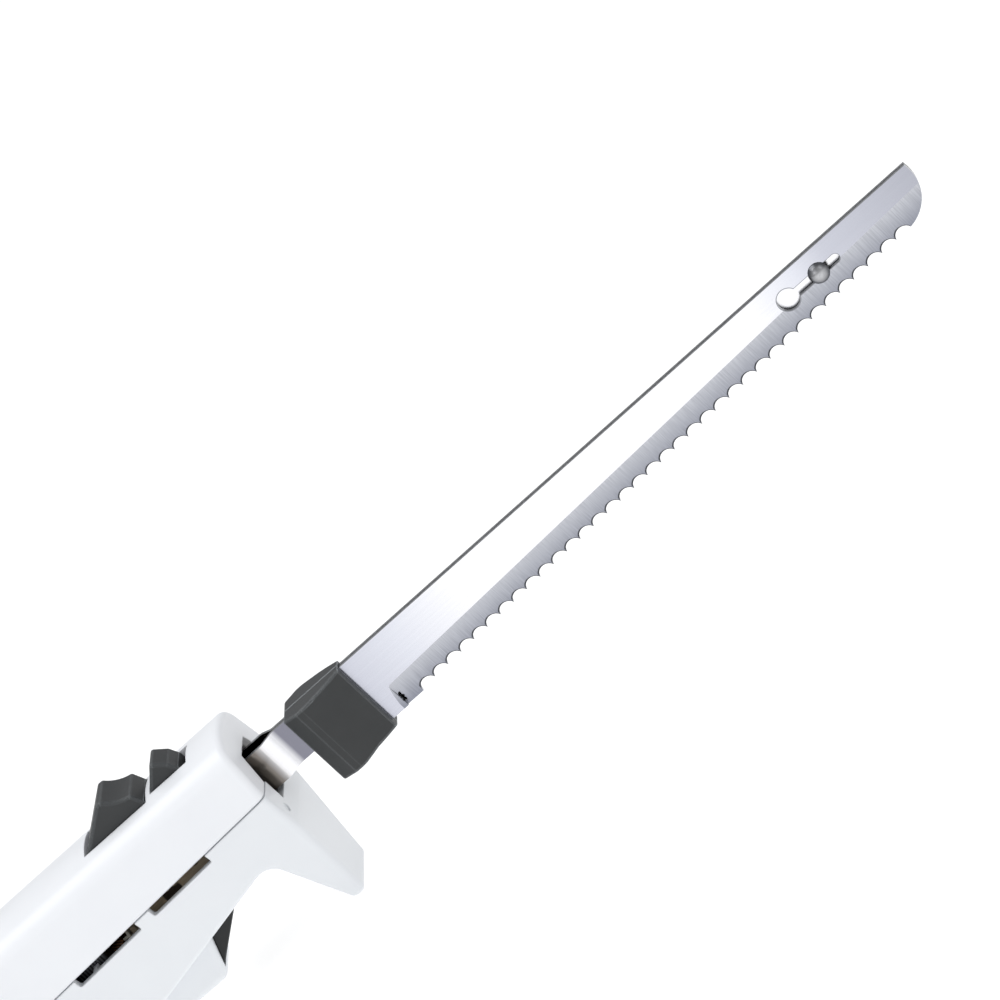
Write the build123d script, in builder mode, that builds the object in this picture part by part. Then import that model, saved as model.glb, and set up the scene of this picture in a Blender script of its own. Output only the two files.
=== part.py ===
from build123d import *
import math
import os

# Electric carving knife: a moulded handle in two shells, a motor with a worm drive inside it,
# and two serrated blades that slide against each other. Millimetres, +X towards the blades' tip,
# +Z up, the near side at -Y. The origin is under the middle of the knife, on the surface it
# stands on with the guard's tip and the heel of the handle.

# Driving dimensions of the whole knife
handle_length = 205.0
blade_reach = 201.6
collar_stand_off = 34.9
spine_z = 49.0
handle_half_width = 18.6
wall_lean_share = 0.27
top_rise = 10.4
seam_drop = 7.6
seam_fall = 8.3
wall = 2.2
overrun = 5.0
running_clearance = 0.05
sliding_gap = 0.2
part_gap = 0.3

# Handle outline
crown_radius = 45.0
shoulder_radius = 6.5
shoulder_chamfer = 2.0
outer_edge_radius = 2.0
guard_tip_half_width = 11.1
guard_rake = 2.2
guard_tip_depth = 4.4
guard_root_back = 15.0
guard_root_z = 25.4
guard_root_radius = 5.0
guard_tip_radius = 2.1
grip_z = 6.0
grip_front_back = 106.0
grip_blend_radius = 60.0
heel_length = 30.0
heel_rise_length = 16.0
heel_blend_radius = 18.0
heel_corner_radius = 5.0
rear_top_radius = 20.0
keel_half_width = 9.0
keel_top_back = 42.0
keel_top_z = 22.0
keel_low_back = 48.8
keel_length = 66.0
keel_edge_radius = 2.4
seam_reveal = 0.35
tongue_height = 1.4
tongue_setback = 1.1

# Openings in the handle
mouth_top_half_width = 6.0
mouth_seam_half_width = 9.6
mouth_low_half_width = 8.3
mouth_top_rise = 1.2
mouth_bottom_drop = 14.6
guard_mark_y = -11.8
guard_mark_z = 32.9
guard_mark_radius = 1.3
guard_mark_depth = 0.35
vent_height = 2.9
vent_starts = (23.4, 51.1)
vent_lengths = (22.4, 24.2)
vent_end_radius = 0.7
trigger_slot_front_back = 24.8
trigger_slot_floor_z = 8.4
trigger_slot_length = 33.0

# Blades
blade_thickness = 1.2
blade_gap = 0.5
blade_heel_height = 20.85
tooth_line_drop = 20.7
tooth_line_rise_share = 0.0357
tooth_pitch = 5.0
tip_room = 9.0
tooth_depth = 2.0
first_tooth_ahead = 11.5
grind_width = 7.5
grind_edge_thickness = 0.3
grind_start_ahead = 5.9
heel_slot_ahead = 6.4
heel_slot_lift = 2.6
heel_slot_length = 3.4
heel_slot_width = 0.6
tip_corner_back = 0.29
tip_round_back = 3.0
tip_round_drop = 10.0
blade_root_inside = 9.0
tang_height = 12.0
tang_top_drop = 1.0
tang_offset = 2.75
joggle_start_back = 26.3
joggle_length = 3.7
joggle_radius = 2.0
tang_inside = 24.0
tang_hole_radius = 1.5
tang_hole_inside = 16.0
rivet_behind_tip = 35.3
rivet_drop = 6.4
rivet_shank_radius = 1.0
rivet_head_radius = 2.9
rivet_head_height = 1.6
rivet_tail_radius = 1.8
rivet_tail_height = 0.5
keyhole_radius = 3.1
keyhole_slot_half_width = 1.3
keyhole_behind_rivet = 10.5
keyhole_ahead_of_rivet = 6.9

# Blade collars
collar_length = 20.2
collar_half_width = 8.1
collar_front_half_width = 3.2
collar_cheek_back = 9.0
collar_cheek_half_width = 7.0
collar_full_width_back = 13.5
collar_heel_length = 4.6
collar_heel_half_width = 6.1
collar_top_rise = 0.5
collar_front_drop = 22.6
collar_rear_drop = 23.3
collar_step_front_back = 7.0
collar_step_rear_back = 12.0
collar_edge_radius = 0.7
collar_halves_gap = 0.3
collar_pocket_clearance = 0.02

# Drive arms, one for each blade, and their travel
stroke = 2.5
arm_inner_half_gap = 1.4
arm_outer_y = 5.8
arm_front_inside = 6.0
arm_socket_length = 20.4
arm_height = 14.8
arm_socket_depth = 18.3
arm_socket_clearance = 0.25
yoke_half_length = 8.8
yoke_half_height = 6.3
yoke_slot_half_length = 6.6
yoke_slot_half_height = 4.1
yoke_slot_radius = 2.0
yoke_thickness = 2.4
clip_thickness = 0.4
clip_length = 12.0
clip_height = 6.0
clip_dimple_radius = 1.2

# Worm wheel on its axle
wheel_back = 38.0
wheel_axis_drop = 6.0
wheel_radius = 8.6
wheel_half_width = 3.0
wheel_teeth = 24
wheel_tooth_depth = 1.3
wheel_tooth_gap_share = 0.5
wheel_web_recess = 1.0
wheel_rim_width = 2.2
wheel_hub_radius = 4.2
axle_radius = 1.25
axle_half_length = 10.0
crank_pin_radius = 1.1
crank_pin_reach = 3.2

# Motor
motor_axis_drop = 18.0
shaft_radius = 1.5
shaft_front_back = 26.6
shaft_rear_back = 117.0
worm_front_back = 31.0
worm_length = 14.0
worm_radius = 3.2
fan_back = 58.0
fan_thickness = 0.8
fan_radius = 10.6
fan_blade_height = 1.7
fan_blade_count = 9
fan_blade_thickness = 0.7
fan_hub_radius = 3.4
fan_rim_width = 0.4
stator_front_back = 66.0
stator_length = 26.0
stator_half_width = 13.0
stator_half_height = 14.0
stator_corner_radius = 6.0
stator_bore_radius = 8.2
stator_window_inner = 6.9
stator_window_outer = 10.4
stator_window_low = 4.0
stator_window_high = 11.5
coil_inner_half_width = 7.1
coil_outer_half_width = 10.2
coil_low = 8.4
coil_high = 11.3
coil_overhang = 4.4
armature_radius = 7.8
armature_slot_count = 12
armature_slot_width = 1.2
armature_slot_depth = 3.6
winding_length = 4.0
winding_radius = 7.0
winding_core_radius = 2.6
commutator_back = 100.0
commutator_length = 9.0
commutator_radius = 5.0
commutator_bar_count = 12
commutator_slit_width = 0.4
commutator_slit_depth = 0.6
brush_length = 7.0
brush_width = 3.0
brush_height = 4.0
brush_centre_back = 104.5
brush_gap = 0.15
holder_wall = 0.6
holder_length = 7.6
holder_reveal = 1.0

# Gear frame, bearings and rear bracket
frame_front_back = 8.0
frame_channel_half_width = 7.6
frame_channel_inner = 6.0
frame_channel_lip_inner = 4.8
frame_channel_lip_height = 1.4
frame_floor_thickness = 1.8
frame_rib_half_width = 1.1
frame_cheek_front_back = 27.0
frame_cheek_outer = 10.0
frame_cheek_inner = 8.4
frame_wall_thickness = 2.5
frame_rear_back = 57.0
frame_low_z = 27.7
frame_rear_low_z = 24.5
frame_cheek_top_rise = 6.0
bush_radius = 2.8
bracket_back = 110.5
bracket_thickness = 2.5
bracket_half_width = 12.0
bracket_half_height = 10.0
bracket_shelf_thickness = 2.4
spring_seat_front_back = 47.5
spring_seat_thickness = 1.3
spring_seat_half_width = 4.0

# Trigger, its pin, spring and switch
trigger_pivot_back = 24.5
trigger_pivot_z = 28.2
trigger_hub_radius = 2.2
trigger_half_width = 6.4
trigger_pin_radius = 1.0
trigger_pin_half_length = 9.0
trigger_brow_back = 25.5
trigger_brow_z = 29.6
trigger_neck_back = 27.2
trigger_neck_z = 26.4
trigger_roof_back = 38.0
trigger_roof_z = 24.8
trigger_roof_end_back = 45.0
trigger_roof_end_z = 23.6
trigger_pad_front_back = 47.2
trigger_pad_rear_back = 52.6
trigger_pad_z = 20.7
trigger_tail_back = 53.9
trigger_tail_top_z = 16.2
trigger_tail_low_z = 9.8
trigger_heel_back = 47.4
trigger_heel_z = 9.0
trigger_toe_back = 30.0
trigger_toe_z = 22.0
trigger_chin_back = 27.6
trigger_chin_z = 23.3
trigger_front_back = 25.1
trigger_front_z = 26.1
switch_front_back = 59.0
switch_length = 19.8
switch_half_width = 5.1
switch_height = 6.4
switch_low_z = 10.4
plunger_front_back = 54.3
plunger_half_height = 0.8
plunger_half_width = 1.6
plunger_length = 7.2
plunger_pocket_depth = 5.2
plunger_centre_drop = 2.4
spring_back = 50.0
spring_radius = 2.0
spring_wire_radius = 0.3
spring_turns = 3.5
spring_foot_gap = 0.3

# Buttons on the top
release_rear_back = 25.6
release_peak_back = 19.9
release_slope_end_back = 16.2
release_front_back = 15.0
release_peak_rise = 5.9
release_slope_end_rise = 2.7
release_half_width = 5.0
release_well_front_back = 12.3
lock_rear_back = 50.7
lock_peak_rear_back = 38.2
lock_peak_back = 36.6
lock_slope_end_back = 29.4
lock_front_back = 27.9
lock_peak_rise = 7.9
lock_slope_end_rise = 3.8
lock_slope_sag = 0.9
lock_half_width = 7.1
lock_foot_drop = 1.0
button_wall = 1.5
release_flange = 1.2
lock_flange = 2.2
button_flange_thickness = 1.2
button_edge_radius = 0.9
button_side_gap = 0.3
flange_drop = 1.6
leaf_thickness = 0.4
leaf_foot_length = 0.8

# Screws and bosses that close the shells
boss_radius = 2.9
screw_radius = 1.2
screw_head_radius = 2.2
screw_head_height = 1.8
screw_clearance = 0.1
front_boss_back = 13.0
front_boss_y = 10.8
rear_boss_back = 128.0
rear_boss_y = 11.0
heel_boss_from_rear = 23.0
screw_length = 17.0
screw_grip = 9.0

# Ribs inside the shells
rib_thickness = 1.6
pivot_rib_inner = 6.9
pivot_rib_outer = 9.3
pivot_rib_half_length = 2.3
pivot_rib_top_z = 30.6
tray_rib_back = 10.0
cradle_backs = (69.0, 87.5)
cradle_clearance = 0.15
bracket_pad_inner = 8.0
frame_pad_inner = 7.6

# Cord inlet at the rear
gland_radius = 6.0
gland_bore_radius = 3.6
gland_length = 14.0
gland_flange_radius = 7.6
gland_flange_thickness = 1.8

# Places worked out from the sizes above
overall_length = handle_length + collar_stand_off + blade_reach
tip_x = overall_length / 2
rear_x = -overall_length / 2
collar_x = tip_x - blade_reach
face_x = collar_x - collar_stand_off
top_z = spine_z + top_rise
seam_z = spine_z - seam_drop
seam_angle = math.atan2(seam_fall, handle_length)
motor_z = spine_z - motor_axis_drop
wheel_z = spine_z - wheel_axis_drop
wheel_x = face_x - wheel_back
blade_outer_y = blade_gap / 2 + blade_thickness
blade_middle_y = blade_gap / 2 + blade_thickness / 2
tang_middle_y = blade_middle_y + tang_offset
tang_top_z = spine_z - tang_top_drop
tang_middle_z = tang_top_z - tang_height / 2
tang_end_x = face_x - tang_inside
rivet_x = tip_x - rivet_behind_tip
rivet_z = spine_z - rivet_drop
belly_slope_share = (guard_root_z - grip_z) / (grip_front_back - guard_root_back)
body_front_low_z = guard_root_z + belly_slope_share * guard_root_back

os.makedirs("parts", exist_ok=True)


def seam_height(x):
    """Height of the seam between the two shells at a place along the handle."""
    return seam_z - seam_fall * (face_x - x) / handle_length


def seam_plane(lift):
    """The seam's plane, which falls towards the rear, raised by a lift."""
    return Plane(
        origin=(face_x, 0, seam_z),
        x_dir=(math.cos(seam_angle), 0, math.sin(seam_angle)),
        z_dir=(-math.sin(seam_angle), 0, math.cos(seam_angle)),
    ).offset(lift)


def handle_form(inset, with_guard):
    """The handle as one solid form, with every face set in by the same amount."""
    corners = [
        ((face_x, top_z + wall), 0),
        ((rear_x, top_z + wall), rear_top_radius),
        ((rear_x, 0), heel_corner_radius),
        ((rear_x + heel_length, 0), heel_corner_radius),
        ((rear_x + heel_length + heel_rise_length, grip_z), heel_blend_radius),
        ((face_x - grip_front_back, grip_z), grip_blend_radius),
    ]
    if with_guard:
        corners += [
            ((face_x - guard_root_back, guard_root_z), guard_root_radius),
            ((face_x - guard_rake - guard_tip_depth, 0), guard_tip_radius),
            ((face_x - guard_rake, 0), guard_tip_radius),
        ]
    corners += [((face_x, body_front_low_z), 0)]
    with BuildSketch(Plane.XZ) as side:
        with BuildLine():
            FilletPolyline(
                *[point for point, radius in corners],
                radius=[radius for point, radius in corners],
                close=True,
            )
        make_face()
        if inset > 0:
            offset(amount=-inset, kind=Kind.INTERSECTION)
    # Seen from the front, two walls lean in above the seam, under a wide crown
    foot_y = handle_half_width + wall_lean_share * seam_z
    head_y = handle_half_width - wall_lean_share * (top_z - seam_z)
    with BuildSketch(Plane.YZ.offset(face_x)) as section:
        with BuildLine():
            Polyline((-foot_y, 0), (foot_y, 0), (head_y, top_z), (-head_y, top_z), close=True)
        make_face()
        with Locations((0, top_z - crown_radius)):
            Circle(crown_radius, mode=Mode.INTERSECT)
        if inset > 0:
            offset(amount=-inset, kind=Kind.INTERSECTION)
            chamfer(section.vertices().group_by(Axis.Y)[-1], shoulder_chamfer)
        else:
            fillet(section.vertices().group_by(Axis.Y)[-1], shoulder_radius)
    with BuildPart() as form:
        extrude(section.sketch, amount=-handle_length)
        extrude(side.sketch, amount=foot_y, both=True, mode=Mode.INTERSECT)
        # The flanks lean in below the seam, each in a plane through it and the guard's tip
        for turn in (1, -1):
            down = Vector(0, turn * (handle_half_width - guard_tip_half_width), -seam_z)
            along_seam = Vector(-handle_length, -turn * wall_lean_share * seam_fall, -seam_fall)
            flank = Plane(
                origin=(face_x, -turn * handle_half_width, seam_z),
                z_dir=along_seam.cross(down) * turn,
            )
            split(bisect_by=flank.offset(-inset), keep=Keep.BOTTOM)
        if with_guard:
            face_edges = form.faces().sort_by(Axis.X)[-1].edges()
            fillet(face_edges, outer_edge_radius)
    return form.part


def keel_form(inset):
    """The narrow keel under the handle behind the trigger, set in by the same amount."""
    slope = (keel_low_back - keel_top_back) / (keel_top_z - grip_z)
    with BuildSketch(Plane.XZ) as outline:
        with BuildLine():
            Polyline(
                (face_x - keel_top_back - inset, keel_top_z),
                (face_x - keel_low_back - inset + inset * slope, grip_z + inset),
                (face_x - keel_low_back - keel_length, grip_z + inset),
                (face_x - keel_low_back - keel_length, keel_top_z),
                close=True,
            )
        make_face()
    with BuildPart() as keel:
        extrude(outline.sketch, amount=keel_half_width - inset, both=True)
        if inset == 0:
            front = keel.faces().sort_by(Axis.X)[-1]
            base = keel.faces().sort_by(Axis.Z)[0]
            rounded = front.edges().filter_by(Axis.Y, reverse=True)
            rounded += base.edges().filter_by(Axis.X)
            rounded += front.edges().filter_by(Axis.Y).sort_by(Axis.Z)[:1]
            fillet(rounded, keel_edge_radius)
    return keel.part


# Screw places, one list for the bosses, their holes and the screws
boss_places = [
    (face_x - front_boss_back, -front_boss_y),
    (face_x - front_boss_back, front_boss_y),
    (face_x - rear_boss_back, -rear_boss_y),
    (face_x - rear_boss_back, rear_boss_y),
    (rear_x + heel_boss_from_rear, 0),
]
frame_top_z = wheel_z + frame_cheek_top_rise
tray_z = tang_middle_z - arm_height / 2 - sliding_gap - frame_floor_thickness
bracket_low_z = motor_z - bracket_half_height
cradle_low_z = switch_low_z + switch_height + part_gap
plunger_z = switch_low_z + switch_height - plunger_centre_drop
spring_seat_z = frame_low_z + part_gap - spring_seat_thickness
spring_foot_z = trigger_pad_z + spring_foot_gap
flange_top_z = top_z - wall - flange_drop
flange_low_z = flange_top_z - button_flange_thickness
brush_inner_y = commutator_radius + brush_gap
brush_x = face_x - brush_centre_back
shaft_bore_radius = shaft_radius + running_clearance / 2


def box_between(low, high, mode=Mode.ADD):
    """A box from its lowest corner to its highest one."""
    size = [high[i] - low[i] for i in range(len(low))]
    with Locations([(low[0] + size[0] / 2, low[1] + size[1] / 2, low[2] + size[2] / 2)]):
        Box(*size, mode=mode)


def stator_outline(clearance):
    """The stator's rounded outline, seen along the motor's shaft."""
    with BuildSketch(Plane.YZ.offset(face_x - stator_front_back)) as outline:
        with Locations((0, motor_z)):
            RectangleRounded(
                2 * (stator_half_width + clearance),
                2 * (stator_half_height + clearance),
                stator_corner_radius + clearance,
            )
    return outline.sketch


with BuildPart() as handle_outer:
    add(handle_form(0, True))
    add(keel_form(0))

# The hollow inside both shells, with the ribs and bosses left standing in it
with BuildPart() as handle_cavity:
    add(handle_form(wall, False))
    add(keel_form(wall))
    with BuildSketch(Plane.XY) as bosses:
        with Locations(*boss_places):
            Circle(boss_radius)
    extrude(amount=top_z, mode=Mode.SUBTRACT)
    for side in (-1, 1):
        pivot_rib = sorted((side * pivot_rib_inner, side * pivot_rib_outer))
        box_between(
            (face_x - trigger_pivot_back - pivot_rib_half_length, pivot_rib[0], 0),
            (face_x - trigger_pivot_back + pivot_rib_half_length, pivot_rib[1], pivot_rib_top_z),
            mode=Mode.SUBTRACT,
        )
        frame_pad = sorted((side * frame_pad_inner, side * frame_cheek_outer))
        box_between(
            (face_x - frame_rear_back, frame_pad[0], 0),
            (face_x - frame_rear_back + frame_wall_thickness, frame_pad[1], frame_rear_low_z),
            mode=Mode.SUBTRACT,
        )
        box_between(
            (face_x - frame_rear_back, frame_pad[0], frame_top_z),
            (face_x - frame_rear_back + frame_wall_thickness, frame_pad[1], top_z),
            mode=Mode.SUBTRACT,
        )
        bracket_pad = sorted((side * bracket_pad_inner, side * bracket_half_width))
        box_between(
            (face_x - bracket_back - bracket_thickness, bracket_pad[0], 0),
            (face_x - bracket_back, bracket_pad[1], bracket_low_z),
            mode=Mode.SUBTRACT,
        )
    box_between(
        (face_x - tray_rib_back - rib_thickness, -frame_channel_half_width, 0),
        (face_x - tray_rib_back, frame_channel_half_width, tray_z),
        mode=Mode.SUBTRACT,
    )
    for rib_back in (switch_front_back + rib_thickness, switch_front_back + switch_length - rib_thickness):
        box_between(
            (face_x - rib_back - rib_thickness / 2, -switch_half_width, 0),
            (face_x - rib_back + rib_thickness / 2, switch_half_width, switch_low_z),
            mode=Mode.SUBTRACT,
        )
    for cradle_back in cradle_backs:
        box_between(
            (face_x - cradle_back - rib_thickness, -handle_half_width, cradle_low_z),
            (face_x - cradle_back, handle_half_width, top_z),
            mode=Mode.SUBTRACT,
        )
    extrude(stator_outline(cradle_clearance), amount=-stator_length)

inlet_z = seam_height(rear_x)
screw_seats = [
    (x, y, seam_height(x) + tongue_height - screw_grip) for x, y in boss_places
]
mouth_depth = wall + sliding_gap


def rim_form(inset, low_lift, high_lift):
    """The slice of the handle's form between two heights over the seam."""
    whole = handle_form(inset, False)
    above = split(whole, bisect_by=seam_plane(low_lift), keep=Keep.TOP)
    return split(above, bisect_by=seam_plane(high_lift), keep=Keep.BOTTOM)


def mouth_cut():
    """The mouth in the handle's front face, through which the blades' tangs go in."""
    with BuildSketch(Plane.YZ.offset(face_x)) as mouth:
        with BuildLine():
            Polyline(
                (-mouth_top_half_width, spine_z + mouth_top_rise),
                (mouth_top_half_width, spine_z + mouth_top_rise),
                (mouth_seam_half_width, seam_z),
                (mouth_low_half_width, seam_z),
                (mouth_low_half_width, spine_z - mouth_bottom_drop),
                (-mouth_low_half_width, spine_z - mouth_bottom_drop),
                (-mouth_low_half_width, seam_z),
                (-mouth_seam_half_width, seam_z),
                close=True,
            )
        make_face()
    extrude(mouth.sketch, amount=-mouth_depth, mode=Mode.SUBTRACT)


def inlet_hole():
    """The round hole in the handle's rear wall that the cord gland sits in."""
    with BuildSketch(Plane.YZ.offset(rear_x)) as hole:
        with Locations((0, inlet_z)):
            Circle(gland_radius + running_clearance)
    extrude(hole.sketch, amount=wall + overrun, mode=Mode.SUBTRACT)



def mirrored(side, inner, outer):
    """Two sizes from the middle plane as a low and a high Y on one side."""
    return sorted((side * inner, side * outer))


# The rim where the shells meet: a tongue on the lower one and the room for it in the upper one
tongue_room = rim_form(tongue_setback - sliding_gap / 2, -overrun, tongue_height + sliding_gap / 2)
with BuildPart() as tongue:
    add(rim_form(tongue_setback, -seam_reveal, tongue_height))
    add(handle_cavity.part, mode=Mode.SUBTRACT)

# Upper shell, with the two button wells and the screw posts
with BuildPart() as top_shell:
    add(handle_outer.part)
    add(handle_cavity.part, mode=Mode.SUBTRACT)
    split(bisect_by=seam_plane(seam_reveal / 2), keep=Keep.TOP)
    add(tongue_room, mode=Mode.SUBTRACT)
    mouth_cut()
    inlet_hole()
    for rear, front, half_width in (
        (release_rear_back + button_side_gap, release_well_front_back, release_half_width),
        (lock_rear_back + button_side_gap, lock_front_back - button_side_gap, lock_half_width),
    ):
        box_between(
            (face_x - rear, -half_width - button_side_gap, frame_top_z + wall),
            (face_x - front, half_width + button_side_gap, top_z + overrun),
            mode=Mode.SUBTRACT,
        )
    for x, y, seat_z in screw_seats:
        with Locations((x, y, seat_z + screw_length / 2 + screw_clearance)):
            Cylinder(screw_radius + running_clearance, screw_length, mode=Mode.SUBTRACT)
top_shell.part.label = "top_shell"
export_step(top_shell.part, "parts/top_shell.step")

# Lower shell, with the guard, the keel, the trigger's slot and the vents along the seam
with BuildPart() as bottom_shell:
    add(handle_outer.part)
    add(handle_cavity.part, mode=Mode.SUBTRACT)
    split(bisect_by=seam_plane(-seam_reveal / 2), keep=Keep.BOTTOM)
    add(tongue.part)
    mouth_cut()
    inlet_hole()
    # A shallow round mark of the mould on the front face
    with BuildSketch(Plane.YZ.offset(face_x)) as guard_mark:
        with Locations((guard_mark_y, guard_mark_z)):
            Circle(guard_mark_radius)
    extrude(amount=-guard_mark_depth, mode=Mode.SUBTRACT)
    vent_plane = Plane(
        origin=(face_x, 0, seam_z),
        x_dir=(math.cos(seam_angle), 0, math.sin(seam_angle)),
        z_dir=(0, -1, 0),
    )
    with BuildSketch(vent_plane) as vents:
        for start, length in zip(vent_starts, vent_lengths):
            with Locations((-start - length / 2, 0)):
                RectangleRounded(length, 2 * vent_height, vent_end_radius)
    extrude(vents.sketch, amount=handle_half_width + overrun, both=True, mode=Mode.SUBTRACT)
    box_between(
        (
            face_x - trigger_slot_front_back - trigger_slot_length,
            wall - keel_half_width,
            trigger_slot_floor_z,
        ),
        (face_x - trigger_slot_front_back, keel_half_width - wall, trigger_pivot_z),
        mode=Mode.SUBTRACT,
    )
    with BuildSketch(Plane.XZ) as pivot_bore:
        with Locations((face_x - trigger_pivot_back, trigger_pivot_z)):
            Circle(trigger_pin_radius + running_clearance / 2)
    extrude(
        pivot_bore.sketch, amount=keel_half_width + overrun, both=True, mode=Mode.SUBTRACT
    )
    for x, y, seat_z in screw_seats:
        with Locations((x, y, seat_z + screw_length / 2)):
            Cylinder(screw_radius + screw_clearance, screw_length, mode=Mode.SUBTRACT)
        with Locations((x, y, seat_z / 2)):
            Cylinder(screw_head_radius + screw_clearance, seat_z, mode=Mode.SUBTRACT)
bottom_shell.part.label = "bottom_shell"
export_step(bottom_shell.part, "parts/bottom_shell.step")


def tooth_line_z(x):
    """Height of the line through the tooth tips, which rises towards the blade's tip."""
    return spine_z - tooth_line_drop + tooth_line_rise_share * (x - collar_x)


# A blade and its tang on the near side, before its own opening is cut
root_x = collar_x - blade_root_inside
joggle_x = collar_x - joggle_start_back
bend_x = joggle_x - joggle_length
tang_low_z = tang_top_z - tang_height
heel_z = spine_z - blade_heel_height
first_tooth_x = collar_x + first_tooth_ahead
tooth_count = int((blade_reach - first_tooth_ahead - tip_room) / tooth_pitch)
last_tooth_x = first_tooth_x + tooth_count * tooth_pitch
with BuildPart() as blade_blank:
    with BuildSketch(Plane.XZ.offset(blade_gap / 2)) as blade_side:
        with BuildLine():
            Polyline(
                (first_tooth_x, heel_z),
                (root_x, heel_z),
                (root_x, tang_low_z),
                (joggle_x, tang_low_z),
                (joggle_x, tang_top_z),
                (root_x, tang_top_z),
                (root_x, spine_z),
                (tip_x - tip_corner_back, spine_z),
            )
            ThreePointArc(
                (tip_x - tip_corner_back, spine_z),
                (tip_x - tip_round_back, spine_z - tip_round_drop),
                (last_tooth_x, tooth_line_z(last_tooth_x)),
            )
            for tooth in range(tooth_count):
                x = first_tooth_x + tooth * tooth_pitch
                middle_x = x + tooth_pitch / 2
                ThreePointArc(
                    (x, heel_z if tooth == 0 else tooth_line_z(x)),
                    (middle_x, tooth_line_z(middle_x) + tooth_depth),
                    (x + tooth_pitch, tooth_line_z(x + tooth_pitch)),
                )
        make_face()
    extrude(amount=blade_thickness)
    # The tang steps outwards behind the collar, into the socket of its arm
    with BuildSketch(Plane.XY.offset(tang_low_z)) as tang:
        with BuildLine():
            FilletPolyline(
                (joggle_x + joggle_radius, -blade_outer_y),
                (joggle_x, -blade_outer_y),
                (bend_x, -blade_outer_y - tang_offset),
                (tang_end_x, -blade_outer_y - tang_offset),
                (tang_end_x, -blade_gap / 2 - tang_offset),
                (bend_x, -blade_gap / 2 - tang_offset),
                (joggle_x, -blade_gap / 2),
                (joggle_x + joggle_radius, -blade_gap / 2),
                radius=[0, joggle_radius, joggle_radius, 0, 0, joggle_radius, joggle_radius, 0],
                close=True,
            )
        make_face()
    extrude(amount=tang_height)
    with BuildSketch(Plane.XZ.offset(blade_outer_y)) as tang_hole:
        with Locations((face_x - tang_hole_inside, tang_middle_z)):
            Circle(tang_hole_radius)
    extrude(amount=tang_offset + overrun, mode=Mode.SUBTRACT)
    # The outer face is ground away along the teeth, from a line above them to a thin edge
    tooth_angle = math.atan(tooth_line_rise_share)
    grind_x = collar_x + grind_start_ahead
    grind_plane = Plane(
        origin=(grind_x, 0, tooth_line_z(grind_x)),
        x_dir=(0, 1, 0),
        z_dir=(math.cos(tooth_angle), 0, math.sin(tooth_angle)),
    )
    bevel_share = (blade_thickness - grind_edge_thickness) / grind_width
    with BuildSketch(grind_plane) as grind:
        with BuildLine():
            Polyline(
                (-blade_outer_y, grind_width),
                (-blade_outer_y - overrun, grind_width),
                (-blade_outer_y - overrun, -overrun),
                (-blade_outer_y + bevel_share * (grind_width + overrun), -overrun),
                close=True,
            )
        make_face()
    extrude(amount=blade_reach, mode=Mode.SUBTRACT)

# Near blade, with the keyhole that hooks it over the rivet's head and a slit near the heel
with BuildPart() as near_blade:
    add(blade_blank.part)
    with BuildSketch(Plane.XZ) as keyhole:
        with Locations((rivet_x - keyhole_behind_rivet, rivet_z)):
            Circle(keyhole_radius)
        with Locations((rivet_x + (keyhole_ahead_of_rivet - keyhole_behind_rivet) / 2, rivet_z)):
            SlotOverall(keyhole_behind_rivet + keyhole_ahead_of_rivet, 2 * keyhole_slot_half_width)
        with Locations((collar_x + heel_slot_ahead, heel_z + heel_slot_lift)):
            SlotOverall(heel_slot_length, heel_slot_width, rotation=90)
    extrude(amount=blade_outer_y + overrun, mode=Mode.SUBTRACT)
near_blade.part.label = "near_blade"
export_step(near_blade.part, "parts/near_blade.step")

# Far blade, bored for the rivet
with BuildPart() as far_blade:
    mirror(blade_blank.part, about=Plane.XZ)
    with BuildSketch(Plane.XZ) as rivet_hole:
        with Locations((rivet_x, rivet_z)):
            Circle(rivet_shank_radius)
    extrude(amount=-blade_outer_y - overrun, mode=Mode.SUBTRACT)
far_blade.part.label = "far_blade"
export_step(far_blade.part, "parts/far_blade.step")

# Rivet with a domed head on the near side, turned about its own axis
rivet_head_y = -blade_outer_y - sliding_gap
rivet_dome_radius = (rivet_head_radius**2 + rivet_head_height**2) / (2 * rivet_head_height)
with BuildPart() as blade_rivet:
    with BuildSketch(Plane.XY.offset(rivet_z)) as rivet_profile:
        with BuildLine():
            Polyline(
                (rivet_x, rivet_head_y - rivet_head_height),
                (rivet_x, blade_outer_y + rivet_tail_height),
                (rivet_x + rivet_tail_radius, blade_outer_y + rivet_tail_height),
                (rivet_x + rivet_tail_radius, blade_outer_y),
                (rivet_x + rivet_shank_radius, blade_outer_y),
                (rivet_x + rivet_shank_radius, rivet_head_y),
                (rivet_x + rivet_head_radius, rivet_head_y),
            )
            RadiusArc(
                (rivet_x + rivet_head_radius, rivet_head_y),
                (rivet_x, rivet_head_y - rivet_head_height),
                rivet_dome_radius,
            )
        make_face()
    revolve(axis=Axis((rivet_x, 0, rivet_z), (0, 1, 0)))
blade_rivet.part.label = "blade_rivet"
export_step(blade_rivet.part, "parts/blade_rivet.step")

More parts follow.
